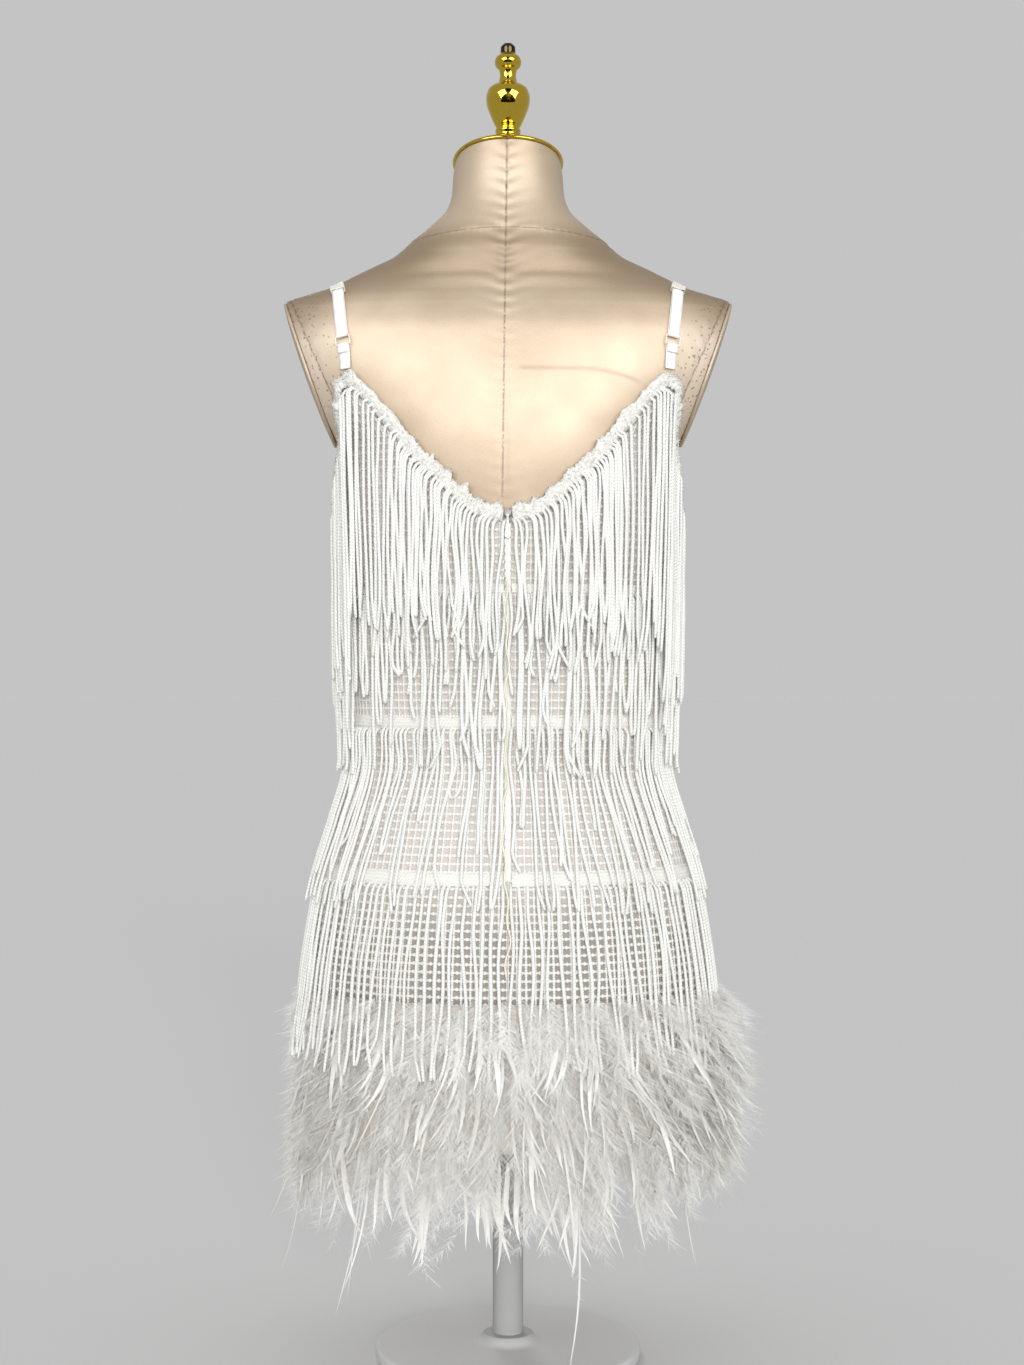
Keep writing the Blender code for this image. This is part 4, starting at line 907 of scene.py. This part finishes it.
def fall(root, top, foot, layer, hook, clear, rng):
    """One cord's line: out of its seam and down to its end, clear of what lies under it."""
    x, y, _ = dress_point(root.turn, top, -STEM)
    wave, phase = rng.uniform(0.0005, 0.0023), rng.uniform(0, 6.28)
    kick = 0.0 if root.bend else rng.gauss(0, 0.004)
    count = CORD_STEPS - 2
    points = []
    for k in range(count + 1):
        t = k / count
        share = t - 0.09 * sin(2 * pi * t)
        drop = (top - foot) * share
        z = top - drop
        heading = atan2(x, y)
        off = between(clear, "out", round(z, 4)) + CORD_RADIUS + layer
        rise = min(1.0, drop / 0.0045)
        least = radius(DRESS_RINGS, heading, z) + off * rise - STEM * (1 - rise)
        here = hypot(x, y)
        want = max(least, here - 0.03 * (top - foot) / count)
        x, y = x * want / here, y * want / here
        ending = max(0.0, share - 0.88) / 0.12
        aside = root.lean * share * share + wave * sin(share * 7 + phase) * min(1.0, share * 4)
        aside += root.bend * ending * ending + kick * ending + hook * exp(-drop / 0.004)
        along = Vector((cos(heading), -sin(heading), 0.0))
        points.append(Vector((x, y, z)) + along * aside)
    points.insert(0, points[0] + Vector((0.0, 0.0, 0.0012)))
    points.append(points[-1] + (points[-1] - points[-2]).normalized() * 0.001)
    return points


def cord_place(cord, column, row):
    point, ahead, outward = line_frame(cord.points, row)
    a = 2 * pi * column / CORD_SIDES
    to_end = len(cord.points) - 1 - row
    size = cord.thick * (0.0 if 0 in (row, to_end) else CORD_FLATNESS if to_end == 1 else 1.0)
    round_it = ahead.cross(outward) * cos(a) + outward * sin(a) * CORD_FLATNESS
    return point + round_it * size, (column / CORD_SIDES, cord.runs[row])


def bunches(first, last, count, crowd, rng):
    """Roots in bunches that lean together. A crowd under 1 packs them towards the last turn."""
    shares = [max(0.0, k + rng.uniform(-0.3, 0.3)) / (count - 1) for k in range(count)]
    turns = [first + (last - first) * share**crowd for share in shares]
    made = []
    while len(made) < count:
        group = turns[len(made):len(made) + rng.choice((1, 2, 2, 3, 3, 4, 5))]
        middle = sum(group) / len(group) + rng.gauss(0, 0.3)
        gather = rng.uniform(0.1, 0.65)
        levels = [rng.random() for _ in group]
        bends = [0.0] * len(group)
        if len(group) > 1 and rng.random() < LOOP_SHARE:
            levels[1] = levels[0]
            bends[0] = (group[1] - group[0]) * (1 - gather) / 2
            bends[1] = -bends[0]
        for turn, bend, level in zip(group, bends, levels):
            made.append(Root(turn, radians((middle - turn) * gather) * GIRTH_RADIUS,
                             radians(bend) * GIRTH_RADIUS, level))
    return made


Hang = namedtuple(
    "Hang", "word first last count layer clear seed crowd hooked strays", defaults=(1.0, False, ()))


def hang_row(hang, top_of, foot_of):
    """One row of fringe, from roots spread between two turns, as one mesh."""
    rng = random.Random(hang.seed)
    roots = [
        (root, top_of(root.turn), foot_of(root.turn, root.level))
        for root in bunches(hang.first, hang.last, hang.count, hang.crowd, rng)
    ]
    roots += [(Root(turn, 0.0, 0.0, 0.0), top_of(turn), foot) for turn, foot in hang.strays]
    cords = []
    for root, top, foot in roots:
        hook = -HOOK * copysign(1.0, sin(2 * radians(root.turn))) if hang.hooked else 0.0
        points = fall(root, top, foot, hang.layer + rng.uniform(0.0, 0.0022), hook, hang.clear, rng)
        runs = [0.0]
        for before, after in zip(points, points[1:]):
            runs.append(runs[-1] + (after - before).length)
        cords.append(Cord(points, runs, CORD_RADIUS * rng.uniform(0.88, 1.1)))
    bm = face_out(grid_mesh(cords, CORD_SIDES, CORD_STEPS, cord_place))
    piece(f"cords_{hang.word}", bm, chainette, "fringe", f"fringe_{hang.word}")


HOOK, ROOT_DROP = 0.0042, 0.0088    # how far cords leave the gimp sideways, and below the edge
NECK_CLEAR = table(Clear, [
    (0.52, 0.0085), (0.6, 0.0068), (0.64, 0.005), (0.69, 0.0034), (0.74, 0.0034), (0.79, 0.0014),
])
ARM_CLEAR = table(Clear, [(0.52, 0.007), (0.6, 0.0056), (0.64, 0.003), (0.69, 0.0014), (0.79, 0.001)])
EDGINGS = table(Hang, [
    ("neck_back_left", 2.0, 44.0, 42, 0.0008, NECK_CLEAR, 21, 0.76, True),
    ("neck_back_right", 358.0, 316.0, 42, 0.0008, NECK_CLEAR, 22, 0.76, True),
    ("neck_front", 136.0, 224.0, 82, 0.0008, NECK_CLEAR, 23, 1.0, True),
    ("armhole_left", 46.0, 134.0, 56, 0.0006, ARM_CLEAR, 24, 1.0, False,
     ((86.0, 0.505), (48.5, 0.512), (51.0, 0.52))),
    ("armhole_right", 314.0, 226.0, 56, 0.0006, ARM_CLEAR, 25, 1.0, False,
     ((311.0, 0.508), (308.5, 0.516))),
])


def below_trim(turn):
    return top_edge_z(turn) - ROOT_DROP


def neck_foot(turn, level):
    """This fringe is a little longer beside the centre than below the straps."""
    aside = min(turn % 180.0, 180.0 - turn % 180.0) / 41.5
    return 0.543 + 0.022 * aside + 0.046 * level


def arm_foot(turn, level):
    return 0.528 + 0.05 * level


for edging in EDGINGS:
    hang_row(edging, below_trim, neck_foot if edging.hooked else arm_foot)
for seed, tier in enumerate(TIERS, start=31):
    def tier_foot(turn, level):
        """Most cords reach their full length; the rest are cut or caught up short."""
        if level < tier.long_share:
            return tier.foot + 0.01 * level / tier.long_share
        extra = (level - tier.long_share) / (1 - tier.long_share)
        return tier.foot + 0.012 + (tier.short - tier.foot - 0.012) * extra

    hang = Hang(f"tier_{tier.word}", 1.3, 358.7, tier.count, 0.0004, tier.clear, seed)
    hang_row(hang, lambda turn: tier.z + tier.low + 0.0016, tier_foot)

# Feather hem: hackles and downy plumes on tape, in three rows that overlap. A hackle has a slender
# pointed vane; a plume has long soft barbs to its very end. Longer wisps stray below and aside.
FeatherRow = namedtuple("FeatherRow", "word z length flare taper hackles plumes tufts seed")
FEATHER_ROWS = table(FeatherRow, [
    ("upper", 0.3055, 0.112, 0.029, 0.05, 300, 440, 220, 41),
    ("middle", 0.26, 0.116, 0.022, 0.18, 300, 400, 0, 42),
    ("lower", 0.21, 0.118, 0.006, 0.46, 300, 420, 0, 43),
])
VANE_STEPS, WIDEST_FLARE, WISP_SHARE, NEAR_TAPE_SHARE = 10, 0.035, 0.07, 0.4
TUFT_OFF = 0.0032          # tufts are short fluffs over the shell's hem, this far off
Barbs = namedtuple("Barbs", "count first spread power long shorter least lift splay low high droop wide")
HACKLE_BARBS, PLUME_BARBS, TUFT_BARBS = table(Barbs, [
    (24, 0.02, 0.62, 1.3, 0.017, 0.019, 0.45, 0.15, 0.5, 32, 72, 0, 0.00026),
    (112, 0.0, 1.0, 0.9, 0.018, 0.005, 0.4, 0.12, 0.5, 30, 70, 12, 0.0003),
    (64, 0.0, 0.9, 1.0, 0.013, 0.0, 0.4, 0.2, 0.45, 25, 70, 0, 0.00028),
])
plume, start = new_finish("off_white_feather", Roughness=0.75, Sheen_Weight=0.15)
u, v = start.uv()
strand = start.noise(420.0, 2.0, 0.6, (1.0, 1.0, 0.16)).ramp(0.35, 0.65)
# Painted shade: feathers and barbs are darker towards their roots, where they lie under one another, and
# lighter towards their tips. They are also lighter higher up, towards the hem. Tone and strands vary at
# random.
near_hem = 0.3 * start.where(2).ramp(0.215, 0.285)
pale = 0.35 * u + 0.2 * strand + 0.45 * v.ramp(0.05, 0.85) + near_hem
paint(pale, (0.6, 0.585, 0.54), (0.93, 0.925, 0.895))

Feather = namedtuple("Feather", "root out side length flare sway width twist tone curl")
Spray = namedtuple("Spray", "turn lean lift reach tone")
Barb = namedtuple("Barb", "feather s side length lift tilt wide")


def feather_point(feather, s):
    """A point on the quill, which bows out from the cloth as it falls."""
    out = feather.out * (0.002 + feather.flare * s ** 1.25 - feather.curl * s**4)
    bow = 0.0045 * sin(4.2 * s + 11 * feather.tone)
    side = feather.side * (feather.sway * s**1.9 + bow * s)
    return feather.root + out + side - Vector((0, 0, feather.length * (s - 0.1 * s * s)))


def vane_place(feather, column, row):
    s = row / VANE_STEPS
    point = feather_point(feather, s)
    width = feather.width * sin(pi * min(1.0, 0.06 + 0.94 * s)) ** 0.7 * (1.0 - 0.35 * s)
    across = feather.side * cos(feather.twist) + feather.out * sin(feather.twist)
    fold = feather.out * (0.25 * width)
    if row == VANE_STEPS:
        width = 0.0
    return point + across * width * (column - 1) - fold * abs(column - 1), (feather.tone, s)


def barb_place(barb, column, row):
    feather = barb.feather
    root = feather_point(feather, barb.s)
    ahead = (feather_point(feather, barb.s + 0.05) - root).normalized()
    across = feather.side * cos(feather.twist) * barb.side + feather.out * barb.lift
    reach = (across * cos(barb.tilt) + ahead * sin(barb.tilt)) * barb.length
    wide = barb.wide * (1.0 if row == 0 else 0.25)
    return root + reach * row + ahead * wide * (2 * column - 1), (feather.tone, barb.s + 0.3 * row)


def sprays(count, rng):
    """Feathers are sewn on in sprays that lean, lift and reach alike."""
    made = []
    while len(made) < count:
        size = rng.randint(3, 8)
        pitch = 360.0 * size / count
        turn = 360.0 * len(made) / count + pitch / 2
        lean, lift, reach = rng.gauss(0, 0.015), rng.uniform(0.45, 1.25), rng.uniform(0.68, 1.16)
        tone = rng.random()
        for _ in range(size):
            made.append(Spray(
                turn + pitch * rng.uniform(-0.55, 0.55), lean + rng.gauss(0, 0.005),
                lift * rng.uniform(0.8, 1.2), reach * rng.uniform(0.85, 1.12),
                0.65 * tone + 0.35 * rng.random(),
            ))
    return made[:count]


def grown(row, spray, below, stretch, width, rng, off=0.0):
    """One feather of a spray. They stand out most on the wearer's right, and part at the zip."""
    a = radians(spray.turn)
    root = under_point(spray.turn, row.z - below, rng.uniform(0.0006, 0.0026) + off)
    out = Vector((root.x, root.y, 0.0)).normalized()
    parting = 0.01 * exp(-((((spray.turn + 180) % 360 - 180) / 5.0) ** 2))
    sway = spray.lean + 0.016 * sin(2 * a) + copysign(parting, sin(a))
    taper = 1 - row.taper * (0.72 - 0.28 * sin(a)) * sin(a) ** 2
    flare = min(WIDEST_FLARE, row.flare * spray.lift * (0.78 - 0.52 * sin(a)))
    return Feather(
        root, out, Vector((out.y, -out.x, 0.0)), row.length * spray.reach * stretch * taper, flare,
        sway, width, rng.uniform(-0.9, 0.9), spray.tone, rng.uniform(-0.006, 0.01),
    )


def grown_barbs(feather, kind, rng):
    """A feather's barbs, to each side in turn."""
    made = []
    for j in range(kind.count):
        s = kind.first + kind.spread * rng.random() ** kind.power
        length = (kind.long - kind.shorter * s) * rng.uniform(kind.least, 1.1)
        lift = rng.gauss(kind.lift, kind.splay)
        tilt = radians(rng.uniform(kind.low, kind.high) + kind.droop * s)
        made.append(Barb(feather, s, 1 if j % 2 else -1, length, lift, tilt, kind.wide))
    return made


for row in FEATHER_ROWS:
    rng = random.Random(row.seed)
    hackles, barbs = [], []
    for spray in sprays(row.hackles, rng):
        wisp = rng.random() < WISP_SHARE
        stretch = rng.uniform(1.1, 1.4) if wisp else rng.uniform(0.5, 0.92)
        width = rng.uniform(0.0007, 0.0013) if wisp else rng.uniform(0.0012, 0.003)
        hackle = grown(row, spray, rng.uniform(0.0, 0.034), stretch, width, rng)
        if wisp:
            flare = min(WIDEST_FLARE, max(0.016, hackle.flare * 1.6))
            hackle = hackle._replace(flare=flare, curl=rng.uniform(-0.008, 0.0))
        hackles.append(hackle)
        barbs += grown_barbs(hackle, HACKLE_BARBS, rng)
    for spray in sprays(row.plumes, rng):
        near_tape = rng.random() < NEAR_TAPE_SHARE
        below = rng.uniform(0.0, 0.006) if near_tape else rng.uniform(0.006, 0.034)
        barbs += grown_barbs(grown(row, spray, below, rng.uniform(0.36, 0.9), 0.0, rng), PLUME_BARBS, rng)
    for spray in sprays(row.tufts, rng):
        tuft = grown(row, spray, rng.uniform(-0.004, 0.002), rng.uniform(0.28, 0.46), 0.0, rng, TUFT_OFF)
        barbs += grown_barbs(tuft, TUFT_BARBS, rng)
    vanes, down = grid_mesh(hackles, 2, VANE_STEPS, vane_place), grid_mesh(barbs, 1, 1, barb_place)
    for part, bm in (("vanes", vanes), ("down", down)):
        piece(f"feather_{part}_{row.word}", bm, plume, "feather", f"feathers_{row.word}")

# Straps: white satin elastic, 9 mm wide. A short piece holds a ring, and a long piece runs over
# the shoulder and doubles back through the ring to its slide.
elastic, start = new_finish("white_satin_elastic", Roughness=0.42)
wave_sockets = {"Vector": start.spot(), "Scale": 300.0, "Distortion": 0.4}
grain = start.node("TexWave", {"bands_direction": "Z"}, wave_sockets)
paint(0.3 * grain + 0.7 * start.noise(30.0), (0.9, 0.9, 0.89), (0.98, 0.98, 0.975))
relief(grain, 0.00003)


def merged_copy(node):
    """A welded copy of a solid's mesh, with its flat faces whole again."""
    bm = bmesh.new()
    bm.from_mesh(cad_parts[node].data)
    bmesh.ops.remove_doubles(bm, verts=bm.verts, dist=2e-6)
    bmesh.ops.dissolve_limit(bm, angle_limit=radians(0.5), verts=bm.verts, edges=bm.edges)
    return bm


def subdivide(made, levels):
    modifier = made.modifiers.new("rounding", "SUBSURF")
    modifier.levels = modifier.render_levels = levels


def soften(made, width):
    """Rounds a small hard piece's edges."""
    bevel = made.modifiers.new("rounding", "BEVEL")
    bevel.width, bevel.segments = width, 2


def ribbon(name, node):
    bm = merged_copy(node)
    crease = bm.edges.layers.float.new("crease_edge")
    for edge in bm.edges:
        if edge.is_manifold and edge.calc_face_angle() > radians(60):
            edge[crease] = 1.0
    subdivide(piece(name, bm, elastic, "strap", node, edge_angle=60), 2)


enamel = mottled("ivory_coated_wire", 300.0, (0.8, 0.74, 0.64), (0.93, 0.89, 0.82), Roughness=0.3)
for word in ("left", "right"):
    ribbon(f"elastic_short_{word}", f"strap_short_{word}")
    ribbon(f"elastic_long_{word}", f"strap_long_{word}")
    ring, slide = f"strap_ring_{word}", f"strap_slide_{word}"
    subdivide(piece(f"wire_ring_{word}", merged_copy(ring), enamel, "enamel", ring), 1)
    soften(piece(f"slide_{word}", merged_copy(slide), enamel, "enamel", slide, edge_angle=40), 0.0003)

# Centre back zip: a fine coil on its tape, between the two backs. Its teeth are small steps
# across the tape's middle, and it ends just below the slider.
TOOTH_PITCH = 0.0016
TAPE_COLUMNS = (-0.0031, -0.0021, -0.001, 0.0, 0.001, 0.0021, 0.0031)
SLIDER_Z = 0.678
coil = mottled("ivory_zip_coil", 200.0, (0.84, 0.82, 0.75), (0.95, 0.94, 0.89), Roughness=0.5)
tape_foot, tape_top = ZIP_FOOT - 0.003, SLIDER_Z - 0.006
tooth_levels = steps_of(tape_foot, tape_top, int((SLIDER_Z - ZIP_FOOT - 0.003) / TOOTH_PITCH))


def tape_place(_, column, row):
    z = tooth_levels[row]
    x = TAPE_COLUMNS[column]
    out = 0.0003 - (0.0004 if row % 2 and column in (2, 3, 4) else 0.0)
    if column in (0, 6):
        out = -0.0012
    return Vector((x, dress_point(0.0, z).y + out, z)), (x, z)


bm = face_out(grid_mesh([0], 6, len(tooth_levels) - 1, tape_place), Vector((0.0, 1.0, 0.0)))
piece("zip_coil", bm, coil, "enamel", "zip_chain")

# A loose cream yarn, sewn down at both ends, wanders over the closed placket below the slider.
# It lies on the fringe of each tier that it passes.
YARN_TOP, YARN_FOOT, YARN_STEPS, YARN_RADIUS = 0.632, 0.322, 96, 0.0007
YARN_RISE = table(Clear, [
    (0.322, 0.0072), (0.39, 0.008), (0.51, 0.0098), (0.56, 0.0118), (0.632, 0.0072),
])
seam_yarn = mottled("cream_seam_yarn", 300.0, (0.8, 0.76, 0.58), (0.94, 0.92, 0.78), Roughness=0.7)
points = []
for z in steps_of(YARN_TOP, YARN_FOOT, YARN_STEPS):
    wander = 0.0042 * drift(2.5, 0.0, z * 26) + 0.0012 * sin(z * 210)
    points.append(dress_point(0.0, z, between(YARN_RISE, "out", z)) + Vector((0.0012 + wander, 0.0, 0.0)))
yarn_line = Cord(points, [0.003 * k for k in range(len(points))], YARN_RADIUS)
bm = face_out(grid_mesh([yarn_line], CORD_SIDES, YARN_STEPS, cord_place))
piece("placket_yarn", bm, seam_yarn, "fringe")

# Slider and pull: cast shapes with rounded edges. The slider is dark metal and stays at the top,
# and the enamelled pull swings on its bail, on a body of its own.
gunmetal, start = new_finish("dark_slider_metal", Metallic=1.0)
paint(start.noise(400.0), (0.1, 0.095, 0.09), (0.22, 0.21, 0.2))
feed("Roughness", 0.28 + 0.2 * start.noise(900.0))
pull_enamel = mottled("cream_enamel", 500.0, (0.74, 0.7, 0.58), (0.85, 0.82, 0.72), Roughness=0.25)
for name, node, finish, slot, body in (
    ("slider", "zip_slider", gunmetal, "slider", BODY),
    ("teardrop_pull", "zip_pull", pull_enamel, "enamel", "pull_tab"),
):
    soften(piece(name, merged_copy(node), finish, slot, node, body=body, edge_angle=40), 0.00015)
